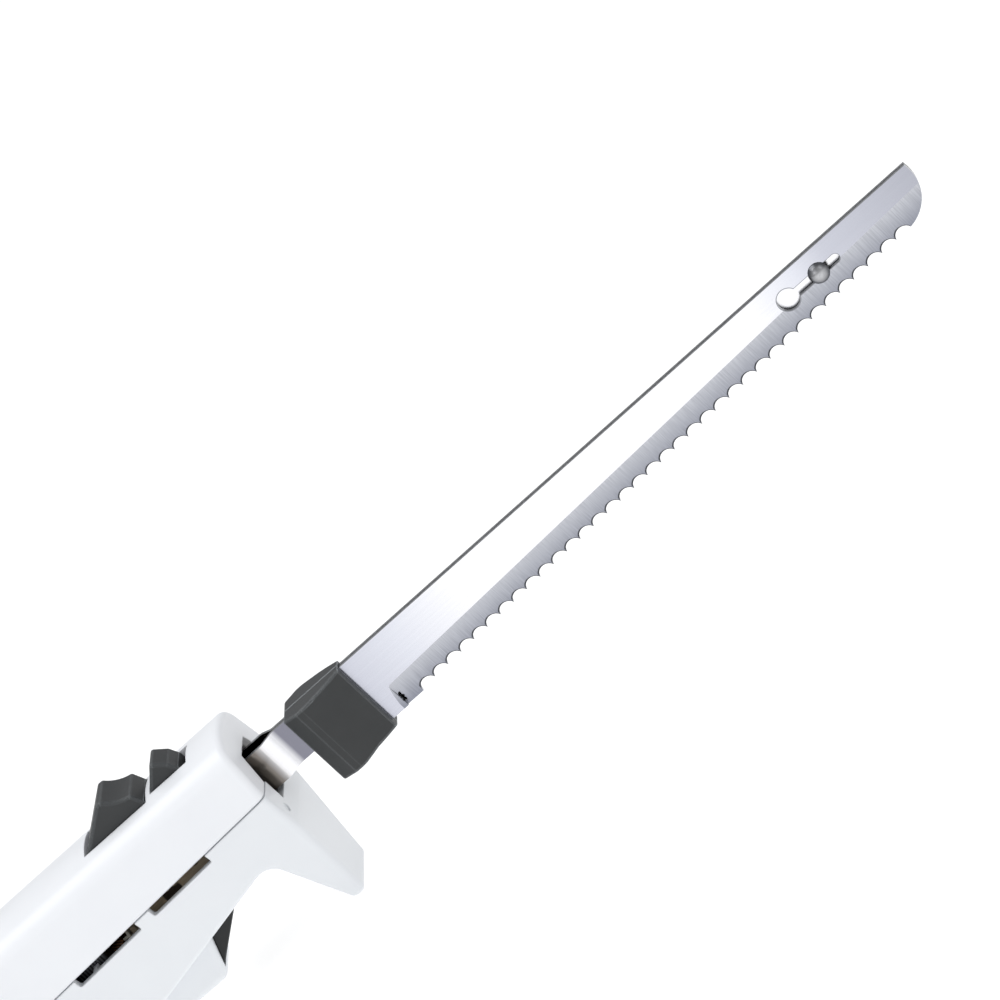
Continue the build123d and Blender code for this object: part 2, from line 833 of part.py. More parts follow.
# Near half of the grip collar, moulded round the root of its blade and swelling to the rear and
# cut off aslant at its heel
collar_rear_x = collar_x - collar_length
collar_top_z = spine_z + collar_top_rise
with BuildPart() as near_blade_collar:
    with BuildSketch(Plane.XZ) as collar_side:
        with BuildLine():
            Polyline(
                (collar_x, collar_top_z),
                (collar_x, spine_z - collar_front_drop),
                (collar_x - collar_step_front_back, spine_z - collar_front_drop),
                (collar_x - collar_step_rear_back, spine_z - collar_rear_drop),
                (collar_rear_x, spine_z - collar_rear_drop),
                (collar_rear_x, collar_top_z),
                close=True,
            )
        make_face()
    extrude(amount=collar_half_width)
    with BuildSketch(Plane.XY.offset(spine_z - collar_rear_drop)) as collar_plan:
        with BuildLine():
            ThreePointArc(
                (collar_x, -collar_front_half_width),
                (collar_x - collar_cheek_back, -collar_cheek_half_width),
                (collar_x - collar_full_width_back, -collar_half_width),
            )
            Polyline(
                (collar_x - collar_full_width_back, -collar_half_width),
                (collar_rear_x + collar_heel_length, -collar_half_width),
                (collar_rear_x, -collar_heel_half_width),
                (collar_rear_x, -collar_halves_gap / 2),
                (collar_x, -collar_halves_gap / 2),
                (collar_x, -collar_front_half_width),
            )
        make_face()
    extrude(amount=collar_rear_drop + collar_top_rise, mode=Mode.INTERSECT)
    outside_y = -blade_outer_y - collar_edge_radius
    outside = near_blade_collar.edges().filter_by(lambda edge: edge.center().Y < outside_y)
    fillet(outside, collar_edge_radius)
    box_between(
        (
            root_x - collar_pocket_clearance,
            -blade_outer_y - collar_pocket_clearance,
            heel_z - collar_pocket_clearance,
        ),
        (collar_x + overrun, 0, spine_z + collar_pocket_clearance),
        mode=Mode.SUBTRACT,
    )
    box_between(
        (
            collar_rear_x - overrun,
            -blade_outer_y - collar_pocket_clearance,
            tang_low_z - collar_pocket_clearance,
        ),
        (root_x, 0, tang_top_z + collar_pocket_clearance),
        mode=Mode.SUBTRACT,
    )
near_blade_collar.part.label = "near_blade_collar"
export_step(near_blade_collar.part, "parts/near_blade_collar.step")

with BuildPart() as far_blade_collar:
    mirror(near_blade_collar.part, about=Plane.XZ)
far_blade_collar.part.label = "far_blade_collar"
export_step(far_blade_collar.part, "parts/far_blade_collar.step")

# Near drive arm: the tang's socket in front, and the yoke round its crank pin behind
arm_front_x = face_x - arm_front_inside
clip_x = face_x - tang_hole_inside
socket_half_width = blade_thickness / 2 + arm_socket_clearance
socket_half_height = tang_height / 2 + arm_socket_clearance
with BuildPart() as near_drive_arm:
    box_between(
        (arm_front_x - arm_socket_length, -arm_outer_y, tang_middle_z - arm_height / 2),
        (arm_front_x, -arm_inner_half_gap, tang_middle_z + arm_height / 2),
    )
    box_between(
        (wheel_x - yoke_half_length, -arm_outer_y, wheel_z - yoke_half_height),
        (arm_front_x - arm_socket_length, yoke_thickness - arm_outer_y, wheel_z + yoke_half_height),
    )
    box_between(
        (
            arm_front_x - arm_socket_depth,
            -tang_middle_y - socket_half_width,
            tang_middle_z - socket_half_height,
        ),
        (
            arm_front_x,
            socket_half_width - tang_middle_y,
            tang_middle_z + socket_half_height,
        ),
        mode=Mode.SUBTRACT,
    )
    with BuildSketch(Plane.XZ) as yoke_slot:
        with Locations((wheel_x, wheel_z)):
            RectangleRounded(2 * yoke_slot_half_length, 2 * yoke_slot_half_height, yoke_slot_radius)
    extrude(amount=arm_outer_y, mode=Mode.SUBTRACT)
    box_between(
        (clip_x - clip_length / 2, -arm_outer_y, tang_middle_z - clip_height / 2),
        (clip_x + clip_length / 2, clip_thickness - arm_outer_y, tang_middle_z + clip_height / 2),
        mode=Mode.SUBTRACT,
    )
    with BuildSketch(Plane.XZ.offset(tang_middle_y)) as clip_window:
        with Locations((clip_x, tang_middle_z)):
            Circle(clip_height / 2 - clip_thickness)
    extrude(amount=arm_outer_y - tang_middle_y, mode=Mode.SUBTRACT)
near_drive_arm.part.label = "near_drive_arm"
export_step(near_drive_arm.part, "parts/near_drive_arm.step")

with BuildPart() as far_drive_arm:
    mirror(near_drive_arm.part, about=Plane.XZ)
far_drive_arm.part.label = "far_drive_arm"
export_step(far_drive_arm.part, "parts/far_drive_arm.step")

# Spring clip on the near arm, whose dimple stands over the hole in the tang
with BuildPart() as near_blade_clip:
    box_between(
        (clip_x - clip_length / 2, -arm_outer_y, tang_middle_z - clip_height / 2),
        (clip_x + clip_length / 2, clip_thickness - arm_outer_y, tang_middle_z + clip_height / 2),
    )
    with BuildSketch(Plane.XZ.offset(tang_middle_y + blade_thickness / 2 + sliding_gap)) as dimple:
        with Locations((clip_x, tang_middle_z)):
            Circle(clip_dimple_radius)
    extrude(amount=arm_outer_y - clip_thickness - tang_middle_y - blade_thickness / 2 - sliding_gap)
near_blade_clip.part.label = "near_blade_clip"
export_step(near_blade_clip.part, "parts/near_blade_clip.step")

with BuildPart() as far_blade_clip:
    mirror(near_blade_clip.part, about=Plane.XZ)
far_blade_clip.part.label = "far_blade_clip"
export_step(far_blade_clip.part, "parts/far_blade_clip.step")

# Worm wheel with a recessed web and a crank pin on each face, half a turn apart
with BuildPart() as worm_wheel:
    with BuildSketch(Plane.XZ) as wheel_face:
        with Locations((wheel_x, wheel_z)):
            Circle(wheel_radius)
            Circle(axle_radius + running_clearance, mode=Mode.SUBTRACT)
    extrude(amount=wheel_half_width, both=True)
    with BuildSketch(Plane.XZ) as tooth_gaps:
        with Locations((wheel_x, wheel_z)):
            with PolarLocations(wheel_radius, wheel_teeth):
                Rectangle(
                    2 * wheel_tooth_depth,
                    2 * math.pi * wheel_radius / wheel_teeth * wheel_tooth_gap_share,
                )
    extrude(amount=wheel_half_width, both=True, mode=Mode.SUBTRACT)
    for side in (-1, 1):
        with BuildSketch(Plane.XZ.offset(side * wheel_half_width)) as web:
            with Locations((wheel_x, wheel_z)):
                Circle(wheel_radius - wheel_tooth_depth - wheel_rim_width)
                Circle(wheel_hub_radius, mode=Mode.SUBTRACT)
        extrude(amount=-side * wheel_web_recess, mode=Mode.SUBTRACT)
        with BuildSketch(Plane.XZ.offset(side * wheel_half_width)) as crank_pin:
            with Locations((wheel_x, wheel_z + side * stroke)):
                Circle(crank_pin_radius)
        extrude(amount=side * crank_pin_reach)
worm_wheel.part.label = "worm_wheel"
export_step(worm_wheel.part, "parts/worm_wheel.step")

with BuildPart() as wheel_axle:
    with BuildSketch(Plane.XZ) as axle_section:
        with Locations((wheel_x, wheel_z)):
            Circle(axle_radius)
    extrude(amount=axle_half_length, both=True)
wheel_axle.part.label = "wheel_axle"
export_step(wheel_axle.part, "parts/wheel_axle.step")


def turned(back, length, radius, bore_radius=0):
    """A round piece on the motor's axis, from its front face backwards."""
    with BuildSketch(Plane.YZ.offset(face_x - back)) as ring:
        with Locations((0, motor_z)):
            Circle(radius)
            if bore_radius > 0:
                Circle(bore_radius, mode=Mode.SUBTRACT)
    extrude(ring.sketch, amount=-length)


with BuildPart() as motor_shaft:
    turned(shaft_front_back, shaft_rear_back - shaft_front_back, shaft_radius)
motor_shaft.part.label = "motor_shaft"
export_step(motor_shaft.part, "parts/motor_shaft.step")

# Worm on the shaft's front end, as the plain cylinder that its thread is cut from
with BuildPart() as drive_worm:
    turned(worm_front_back, worm_length, worm_radius, shaft_bore_radius)
drive_worm.part.label = "drive_worm"
export_step(drive_worm.part, "parts/drive_worm.step")

# Cooling fan, a disc with straight blades on its rear face
fan_blade_root = fan_hub_radius / 2
fan_blade_end = fan_radius - fan_rim_width
with BuildPart() as cooling_fan:
    turned(fan_back, fan_thickness, fan_radius, shaft_bore_radius)
    turned(fan_back, fan_thickness + fan_blade_height, fan_hub_radius, shaft_bore_radius)
    with BuildSketch(Plane.YZ.offset(face_x - fan_back - fan_thickness)) as fan_blades:
        with Locations((0, motor_z)):
            Circle(shaft_bore_radius)
            with PolarLocations((fan_blade_root + fan_blade_end) / 2, fan_blade_count):
                Rectangle(fan_blade_end - fan_blade_root, fan_blade_thickness)
            Circle(shaft_bore_radius, mode=Mode.SUBTRACT)
    extrude(amount=-fan_blade_height)
cooling_fan.part.label = "cooling_fan"
export_step(cooling_fan.part, "parts/cooling_fan.step")

# Stator, a stack of laminations with a pole above and below the armature
window_width = stator_window_outer - stator_window_inner
window_height = stator_window_high - stator_window_low
with BuildPart() as stator_core:
    extrude(stator_outline(0), amount=-stator_length)
    with BuildSketch(Plane.YZ.offset(face_x - stator_front_back)) as stator_holes:
        with Locations((0, motor_z)):
            Circle(stator_bore_radius)
            with GridLocations(
                2 * stator_window_inner + window_width, 2 * stator_window_low + window_height, 2, 2
            ):
                Rectangle(window_width, window_height)
    extrude(amount=-stator_length, mode=Mode.SUBTRACT)
stator_core.part.label = "stator_core"
export_step(stator_core.part, "parts/stator_core.step")

# Field coils, one wound round each pole
with BuildPart() as field_coils:
    for coil_z in (motor_z + coil_low, motor_z - coil_high):
        with BuildSketch(Plane.XY.offset(coil_z)) as coil:
            with Locations((face_x - stator_front_back - stator_length / 2, 0)):
                RectangleRounded(
                    stator_length + 2 * coil_overhang,
                    2 * coil_outer_half_width,
                    coil_outer_half_width - coil_inner_half_width,
                )
                Rectangle(
                    stator_length + 2 * part_gap, 2 * coil_inner_half_width, mode=Mode.SUBTRACT
                )
        extrude(amount=coil_high - coil_low)
field_coils.part.label = "field_coils"
export_step(field_coils.part, "parts/field_coils.step")

# Armature: slotted core, windings at both ends, commutator
with BuildPart() as armature_core:
    turned(stator_front_back, stator_length, armature_radius, shaft_bore_radius)
    with BuildSketch(Plane.YZ.offset(face_x - stator_front_back)) as armature_slots:
        with Locations((0, motor_z)):
            with PolarLocations(armature_radius, armature_slot_count):
                Rectangle(2 * armature_slot_depth, armature_slot_width)
    extrude(amount=-stator_length, mode=Mode.SUBTRACT)
armature_core.part.label = "armature_core"
export_step(armature_core.part, "parts/armature_core.step")

with BuildPart() as armature_winding:
    for back in (stator_front_back - winding_length, stator_front_back + stator_length):
        turned(back, winding_length, winding_radius, winding_core_radius)
armature_winding.part.label = "armature_winding"
export_step(armature_winding.part, "parts/armature_winding.step")

with BuildPart() as commutator:
    turned(commutator_back, commutator_length, commutator_radius, shaft_bore_radius)
    with BuildSketch(Plane.YZ.offset(face_x - commutator_back)) as bar_slits:
        with Locations((0, motor_z)):
            with PolarLocations(commutator_radius, commutator_bar_count):
                Rectangle(2 * commutator_slit_depth, commutator_slit_width)
    extrude(amount=-commutator_length, mode=Mode.SUBTRACT)
commutator.part.label = "commutator"
export_step(commutator.part, "parts/commutator.step")

# Carbon brushes in their holders, one on each side of the commutator
holder_inner_y = brush_inner_y + holder_reveal
holder_outer_y = holder_inner_y + holder_length
holder_bore_half_width = brush_width / 2 + running_clearance
holder_bore_half_height = brush_height / 2 + running_clearance
with BuildPart() as carbon_brushes:
    for side in (-1, 1):
        ends = mirrored(side, brush_inner_y, brush_inner_y + brush_length)
        box_between(
            (brush_x - brush_width / 2, ends[0], motor_z - brush_height / 2),
            (brush_x + brush_width / 2, ends[1], motor_z + brush_height / 2),
        )
carbon_brushes.part.label = "carbon_brushes"
export_step(carbon_brushes.part, "parts/carbon_brushes.step")

with BuildPart() as brush_holders:
    for side in (-1, 1):
        ends = mirrored(side, holder_inner_y, holder_outer_y)
        bore_ends = mirrored(side, brush_inner_y, holder_outer_y - holder_wall)
        box_between(
            (
                brush_x - holder_bore_half_width - holder_wall,
                ends[0],
                motor_z - holder_bore_half_height - holder_wall,
            ),
            (
                brush_x + holder_bore_half_width + holder_wall,
                ends[1],
                motor_z + holder_bore_half_height + holder_wall,
            ),
        )
        box_between(
            (brush_x - holder_bore_half_width, bore_ends[0], motor_z - holder_bore_half_height),
            (brush_x + holder_bore_half_width, bore_ends[1], motor_z + holder_bore_half_height),
            mode=Mode.SUBTRACT,
        )
brush_holders.part.label = "brush_holders"
export_step(brush_holders.part, "parts/brush_holders.step")

# Gear frame: the arms' channel in front, cheeks for the axle, and the motor's front wall
channel_front_x = face_x - frame_front_back
cheek_front_x = face_x - frame_cheek_front_back
frame_rear_x = face_x - frame_rear_back
channel_floor_z = tray_z + frame_floor_thickness
lip_low_z = tang_middle_z + arm_height / 2 + sliding_gap
lip_top_z = lip_low_z + frame_channel_lip_height
with BuildPart() as gear_frame:
    box_between(
        (cheek_front_x, -frame_channel_half_width, tray_z),
        (channel_front_x, frame_channel_half_width, channel_floor_z),
    )
    box_between(
        (cheek_front_x, -frame_rib_half_width, channel_floor_z),
        (channel_front_x, frame_rib_half_width, lip_low_z - sliding_gap),
    )
    box_between(
        (cheek_front_x - frame_wall_thickness, -frame_cheek_outer, frame_low_z),
        (cheek_front_x, frame_cheek_outer, channel_floor_z),
    )
    box_between(
        (frame_rear_x, -frame_cheek_outer, frame_rear_low_z),
        (frame_rear_x + frame_wall_thickness, frame_cheek_outer, frame_top_z),
    )
    box_between(
        (frame_rear_x, -spring_seat_half_width, spring_seat_z),
        (face_x - spring_seat_front_back, spring_seat_half_width, spring_seat_z + spring_seat_thickness),
    )
    for side in (-1, 1):
        wall_y = mirrored(side, frame_channel_inner, frame_channel_half_width)
        lip_y = mirrored(side, frame_channel_lip_inner, frame_channel_half_width)
        web_y = mirrored(side, frame_channel_inner, frame_cheek_outer)
        cheek_y = mirrored(side, frame_cheek_inner, frame_cheek_outer)
        box_between((cheek_front_x, wall_y[0], tray_z), (channel_front_x, wall_y[1], lip_top_z))
        box_between((cheek_front_x, lip_y[0], lip_low_z), (channel_front_x, lip_y[1], lip_top_z))
        box_between(
            (cheek_front_x - frame_wall_thickness, web_y[0], channel_floor_z),
            (cheek_front_x, web_y[1], frame_top_z),
        )
        box_between(
            (frame_rear_x, cheek_y[0], frame_low_z), (cheek_front_x, cheek_y[1], frame_top_z)
        )
    with BuildSketch(Plane.XZ) as axle_bore:
        with Locations((wheel_x, wheel_z)):
            Circle(axle_radius + running_clearance / 2)
    extrude(amount=frame_cheek_outer, both=True, mode=Mode.SUBTRACT)
    with BuildSketch(Plane.YZ.offset(cheek_front_x)) as bush_bore:
        with Locations((0, motor_z)):
            Circle(bush_radius + running_clearance / 2)
    extrude(amount=frame_rear_x - cheek_front_x, mode=Mode.SUBTRACT)
gear_frame.part.label = "gear_frame"
export_step(gear_frame.part, "parts/gear_frame.step")

# Bronze bushes for the shaft, in the gear frame's two walls and in the rear bracket
with BuildPart() as front_bush:
    turned(frame_cheek_front_back, frame_wall_thickness, bush_radius, shaft_radius + running_clearance)
front_bush.part.label = "front_bush"
export_step(front_bush.part, "parts/front_bush.step")

with BuildPart() as middle_bush:
    turned(
        frame_rear_back - frame_wall_thickness,
        frame_wall_thickness,
        bush_radius,
        shaft_radius + running_clearance,
    )
middle_bush.part.label = "middle_bush"
export_step(middle_bush.part, "parts/middle_bush.step")

with BuildPart() as rear_bush:
    turned(bracket_back, bracket_thickness, bush_radius, shaft_radius + running_clearance)
rear_bush.part.label = "rear_bush"
export_step(rear_bush.part, "parts/rear_bush.step")

# Rear bracket, with a shelf under each brush holder
bracket_x = face_x - bracket_back
shelf_z = motor_z - holder_bore_half_height - holder_wall
with BuildPart() as rear_bracket:
    box_between(
        (bracket_x - bracket_thickness, -bracket_half_width, bracket_low_z),
        (bracket_x, bracket_half_width, motor_z + bracket_half_height),
    )
    for side in (-1, 1):
        shelf_y = mirrored(side, holder_inner_y, bracket_half_width)
        box_between(
            (bracket_x, shelf_y[0], shelf_z - bracket_shelf_thickness),
            (brush_x + brush_width / 2, shelf_y[1], shelf_z),
        )
    with BuildSketch(Plane.YZ.offset(bracket_x)) as bracket_bore:
        with Locations((0, motor_z)):
            Circle(bush_radius + running_clearance / 2)
    extrude(amount=-bracket_thickness, mode=Mode.SUBTRACT)
rear_bracket.part.label = "rear_bracket"
export_step(rear_bracket.part, "parts/rear_bracket.step")

# Trigger, a wedge that swings on its pin and runs back into the keel
trigger_x = face_x - trigger_pivot_back
with BuildPart() as trigger:
    with BuildSketch(Plane.XZ) as trigger_side:
        with BuildLine():
            Polyline(
                (face_x - trigger_brow_back, trigger_brow_z),
                (face_x - trigger_neck_back, trigger_neck_z),
                (face_x - trigger_roof_back, trigger_roof_z),
                (face_x - trigger_roof_end_back, trigger_roof_end_z),
                (face_x - trigger_pad_front_back, trigger_pad_z),
                (face_x - trigger_pad_rear_back, trigger_pad_z),
                (face_x - trigger_tail_back, trigger_tail_top_z),
                (face_x - trigger_tail_back, trigger_tail_low_z),
                (face_x - trigger_heel_back, trigger_heel_z),
                (face_x - trigger_toe_back, trigger_toe_z),
                (face_x - trigger_chin_back, trigger_chin_z),
                (face_x - trigger_front_back, trigger_front_z),
                close=True,
            )
        make_face()
        with Locations((trigger_x, trigger_pivot_z)):
            Circle(trigger_hub_radius)
            Circle(trigger_pin_radius + running_clearance, mode=Mode.SUBTRACT)
    extrude(amount=trigger_half_width, both=True)
trigger.part.label = "trigger"
export_step(trigger.part, "parts/trigger.step")

with BuildPart() as trigger_pin:
    with BuildSketch(Plane.XZ) as pin_section:
        with Locations((trigger_x, trigger_pivot_z)):
            Circle(trigger_pin_radius)
    extrude(amount=trigger_pin_half_length, both=True)
trigger_pin.part.label = "trigger_pin"
export_step(trigger_pin.part, "parts/trigger_pin.step")

# Return spring between the trigger's pad and the seat under the gear frame, its wire six-sided
spring_rise = spring_seat_z - spring_foot_z - 2 * spring_wire_radius
with BuildPart() as trigger_spring:
    with BuildLine() as spring_line:
        Helix(
            pitch=spring_rise / spring_turns,
            height=spring_rise,
            radius=spring_radius - spring_wire_radius,
            center=(face_x - spring_back, 0, spring_foot_z + spring_wire_radius),
        )
    with BuildSketch(Plane(spring_line.line @ 0, z_dir=spring_line.line % 0)) as spring_wire:
        RegularPolygon(spring_wire_radius, 6)
    sweep(spring_wire.sketch, path=spring_line.line, is_frenet=True)
trigger_spring.part.label = "trigger_spring"
export_step(trigger_spring.part, "parts/trigger_spring.step")

# Switch in the keel, and the plunger that the trigger pushes into it
switch_x = face_x - switch_front_back
with BuildPart() as microswitch:
    box_between(
        (switch_x - switch_length, -switch_half_width, switch_low_z),
        (switch_x, switch_half_width, switch_low_z + switch_height),
    )
    box_between(
        (
            switch_x - plunger_pocket_depth,
            -plunger_half_width - running_clearance,
            plunger_z - plunger_half_height - running_clearance,
        ),
        (
            switch_x,
            plunger_half_width + running_clearance,
            plunger_z + plunger_half_height + running_clearance,
        ),
        mode=Mode.SUBTRACT,
    )
microswitch.part.label = "microswitch"
export_step(microswitch.part, "parts/microswitch.step")

with BuildPart() as switch_plunger:
    box_between(
        (
            face_x - plunger_front_back - plunger_length,
            -plunger_half_width,
            plunger_z - plunger_half_height,
        ),
        (face_x - plunger_front_back, plunger_half_width, plunger_z + plunger_half_height),
    )
switch_plunger.part.label = "switch_plunger"
export_step(switch_plunger.part, "parts/switch_plunger.step")

# Release button, a cap that is hollow from below, with a flange under the roof on both sides
with BuildPart() as release_button:
    with BuildSketch(Plane.XZ) as release_side:
        with BuildLine():
            Polyline(
                (face_x - release_rear_back, flange_low_z),
                (face_x - release_rear_back, top_z),
                (face_x - release_peak_back, top_z + release_peak_rise),
                (face_x - release_slope_end_back, top_z + release_slope_end_rise),
                (face_x - release_front_back, top_z),
                (face_x - release_front_back, flange_low_z),
                close=True,
            )
        make_face()
    extrude(amount=release_half_width, both=True)
    fillet(
        release_button.edges().filter_by(lambda edge: edge.center().Z > top_z + part_gap),
        button_edge_radius,
    )
    box_between(
        (face_x - release_rear_back, -release_half_width - release_flange, flange_low_z),
        (face_x - release_front_back, release_half_width + release_flange, flange_top_z),
    )
    release_room = offset(
        release_side.sketch, amount=-button_wall, kind=Kind.INTERSECTION, mode=Mode.PRIVATE
    )
    extrude(release_room, amount=release_half_width - button_wall, both=True, mode=Mode.SUBTRACT)
    box_between(
        (
            face_x - release_rear_back + button_wall,
            button_wall - release_half_width,
            flange_low_z,
        ),
        (
            face_x - release_front_back - button_wall,
            release_half_width - button_wall,
            flange_top_z + button_wall,
        ),
        mode=Mode.SUBTRACT,
    )
release_button.part.label = "release_button"
export_step(release_button.part, "parts/release_button.step")

# Lock button, the larger one, with a flat back and a hollow slope for the thumb
lock_slope_middle_back = (lock_peak_back + lock_slope_end_back) / 2
lock_slope_middle_rise = (lock_peak_rise + lock_slope_end_rise) / 2 - lock_slope_sag
with BuildPart() as lock_button:
    with BuildSketch(Plane.XZ) as lock_side:
        with BuildLine():
            Polyline(
                (face_x - lock_slope_end_back, top_z + lock_slope_end_rise),
                (face_x - lock_front_back, top_z),
                (face_x - lock_front_back, flange_low_z),
                (face_x - lock_rear_back, flange_low_z),
                (face_x - lock_rear_back, top_z - lock_foot_drop),
                (face_x - lock_peak_rear_back, top_z + lock_peak_rise),
                (face_x - lock_peak_back, top_z + lock_peak_rise),
            )
            ThreePointArc(
                (face_x - lock_peak_back, top_z + lock_peak_rise),
                (face_x - lock_slope_middle_back, top_z + lock_slope_middle_rise),
                (face_x - lock_slope_end_back, top_z + lock_slope_end_rise),
            )
        make_face()
    extrude(amount=lock_half_width, both=True)
    fillet(
        lock_button.edges().filter_by(lambda edge: edge.center().Z > top_z + part_gap),
        button_edge_radius,
    )
    box_between(
        (face_x - lock_rear_back, -lock_half_width - lock_flange, flange_low_z),
        (face_x - lock_front_back, lock_half_width + lock_flange, flange_top_z),
    )
    lock_room = offset(
        lock_side.sketch, amount=-button_wall, kind=Kind.INTERSECTION, mode=Mode.PRIVATE
    )
    extrude(lock_room, amount=lock_half_width - button_wall, both=True, mode=Mode.SUBTRACT)
    box_between(
        (face_x - lock_rear_back + button_wall, button_wall - lock_half_width, flange_low_z),
        (
            face_x - lock_front_back - button_wall,
            lock_half_width - button_wall,
            flange_top_z + button_wall,
        ),
        mode=Mode.SUBTRACT,
    )
lock_button.part.label = "lock_button"
export_step(lock_button.part, "parts/lock_button.step")


def bowed_leaf(front_back, rear_back, foot_z):
    """Side outline of a leaf spring that bows from two feet up to a button's flange."""
    front_foot_x = face_x - front_back
    rear_foot_x = face_x - rear_back
    middle_x = (front_foot_x + rear_foot_x) / 2
    crest_z = flange_low_z - sliding_gap
    with BuildSketch(Plane.XZ) as leaf:
        with BuildLine():
            ThreePointArc((front_foot_x, foot_z), (middle_x, crest_z), (rear_foot_x, foot_z))
            Line((rear_foot_x, foot_z), (rear_foot_x + leaf_foot_length, foot_z))
            ThreePointArc(
                (rear_foot_x + leaf_foot_length, foot_z),
                (middle_x, crest_z - leaf_thickness),
                (front_foot_x - leaf_foot_length, foot_z),
            )
            Line((front_foot_x - leaf_foot_length, foot_z), (front_foot_x, foot_z))
        make_face()
    return leaf.sketch


# Leaf springs under the buttons, a pair for each
with BuildPart() as release_spring:
    release_leaf = bowed_leaf(release_front_back, release_rear_back, lip_top_z)
    for side in (-1, 1):
        leaf_low_y = min(side * release_half_width, side * (release_half_width + release_flange))
        extrude(
            release_leaf.moved(Location((0, leaf_low_y, 0))), amount=-release_flange
        )
release_spring.part.label = "release_spring"
export_step(release_spring.part, "parts/release_spring.step")

with BuildPart() as lock_spring:
    lock_leaf = bowed_leaf(lock_front_back + frame_wall_thickness, lock_rear_back, frame_top_z)
    for side in (-1, 1):
        leaf_low_y = min(side * frame_cheek_inner, side * (lock_half_width + lock_flange))
        extrude(
            lock_leaf.moved(Location((0, leaf_low_y, 0))),
            amount=frame_cheek_inner - lock_half_width - lock_flange,
        )
lock_spring.part.label = "lock_spring"
export_step(lock_spring.part, "parts/lock_spring.step")

# Shell screws, up from the lower shell into the posts of the upper one
with BuildPart() as housing_screws:
    for x, y, seat_z in screw_seats:
        with Locations((x, y, seat_z + screw_length / 2)):
            Cylinder(screw_radius, screw_length)
        with Locations((x, y, seat_z - screw_head_height / 2)):
            Cylinder(screw_head_radius, screw_head_height)
housing_screws.part.label = "housing_screws"
export_step(housing_screws.part, "parts/housing_screws.step")

# Cord gland in the rear wall, held by the flange inside it
with BuildPart() as cord_gland:
    with BuildSketch(Plane.YZ.offset(rear_x)) as gland_section:
        with Locations((0, inlet_z)):
            Circle(gland_radius)
            Circle(gland_bore_radius, mode=Mode.SUBTRACT)
    extrude(amount=gland_length)
    with BuildSketch(Plane.YZ.offset(rear_x + wall + part_gap)) as gland_flange:
        with Locations((0, inlet_z)):
            Circle(gland_flange_radius)
            Circle(gland_bore_radius, mode=Mode.SUBTRACT)
    extrude(amount=gland_flange_thickness)
cord_gland.part.label = "cord_gland"
export_step(cord_gland.part, "parts/cord_gland.step")
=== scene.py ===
from math import cos, pi, radians, sin

import bpy
from mathutils import Matrix, Vector


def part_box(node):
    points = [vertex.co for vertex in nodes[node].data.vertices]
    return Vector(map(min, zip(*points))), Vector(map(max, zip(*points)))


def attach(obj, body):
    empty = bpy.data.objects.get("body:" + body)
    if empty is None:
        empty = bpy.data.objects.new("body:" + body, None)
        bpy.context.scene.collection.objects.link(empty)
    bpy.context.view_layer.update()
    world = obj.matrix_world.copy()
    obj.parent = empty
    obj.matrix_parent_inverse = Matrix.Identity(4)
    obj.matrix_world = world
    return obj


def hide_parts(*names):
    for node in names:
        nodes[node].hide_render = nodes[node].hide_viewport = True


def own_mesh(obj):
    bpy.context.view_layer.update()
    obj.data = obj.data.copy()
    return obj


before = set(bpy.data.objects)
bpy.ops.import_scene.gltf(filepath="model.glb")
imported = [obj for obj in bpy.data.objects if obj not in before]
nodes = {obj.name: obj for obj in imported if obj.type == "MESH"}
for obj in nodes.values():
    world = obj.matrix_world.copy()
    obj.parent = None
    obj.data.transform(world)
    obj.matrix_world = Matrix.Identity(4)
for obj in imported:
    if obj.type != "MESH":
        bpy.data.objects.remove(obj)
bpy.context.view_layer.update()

mm = 0.001

# Camera: a long lens from the near side, a little above and ahead of the knife, rolled so that
# the blades rise to the upper right of the frame.
view_turn = radians(14.73)
view_drop = radians(17.36)
view_roll = radians(46.19)
view_distance = 1100 * mm
view_target = Vector((82.96, 0, 53.61)) * mm
forward = Vector(
    (-sin(view_turn) * cos(view_drop), cos(view_turn) * cos(view_drop), -sin(view_drop))
)
level = Vector((cos(view_turn), sin(view_turn), 0))
above = level.cross(forward)
right = level * cos(view_roll) - above * sin(view_roll)
up = level * sin(view_roll) + above * cos(view_roll)
lens = bpy.data.cameras.new("photo_lens")
lens.sensor_width = 36
lens.lens = 151.0
lens.clip_end = 20
camera = bpy.data.objects.new("photo_camera", lens)
camera.matrix_world = Matrix.Translation(view_target - forward * view_distance) @ Matrix(
    (right, up, -forward)
).transposed().to_4x4()
bpy.context.scene.collection.objects.link(camera)
bpy.context.scene.camera = camera
bpy.context.scene.view_settings.view_transform = "Standard"

# Studio: a light table of opal acrylic, lit softly from below so that it stays plain white, with
# a large overhead softbox, two weaker ones in front and an even pale surround.


def linear(code):
    """An sRGB hex colour as linear RGBA."""
    channels = [int(code[i:i + 2], 16) / 255 for i in (1, 3, 5)]
    return [c / 12.92 if c <= 0.04045 else ((c + 0.055) / 1.055) ** 2.4 for c in channels] + [1]


def join(tree, node, **inputs):
    """Fills a node's inputs, each with a link or a value; _2 stands for input number 2."""
    for name, value in inputs.items():
        number = name[1:]
        socket = node.inputs[int(number) if number.isdigit() else name.replace("_", " ")]
        if isinstance(value, bpy.types.NodeSocket):
            tree.links.new(value, socket)
        else:
            socket.default_value = value


def finish_named(name):
    """A new material, its node tree and its shader, already joined to the output."""
    made = bpy.data.materials.new(name)
    made.use_nodes = True
    return made, made.node_tree, made.node_tree.nodes["Principled BSDF"]


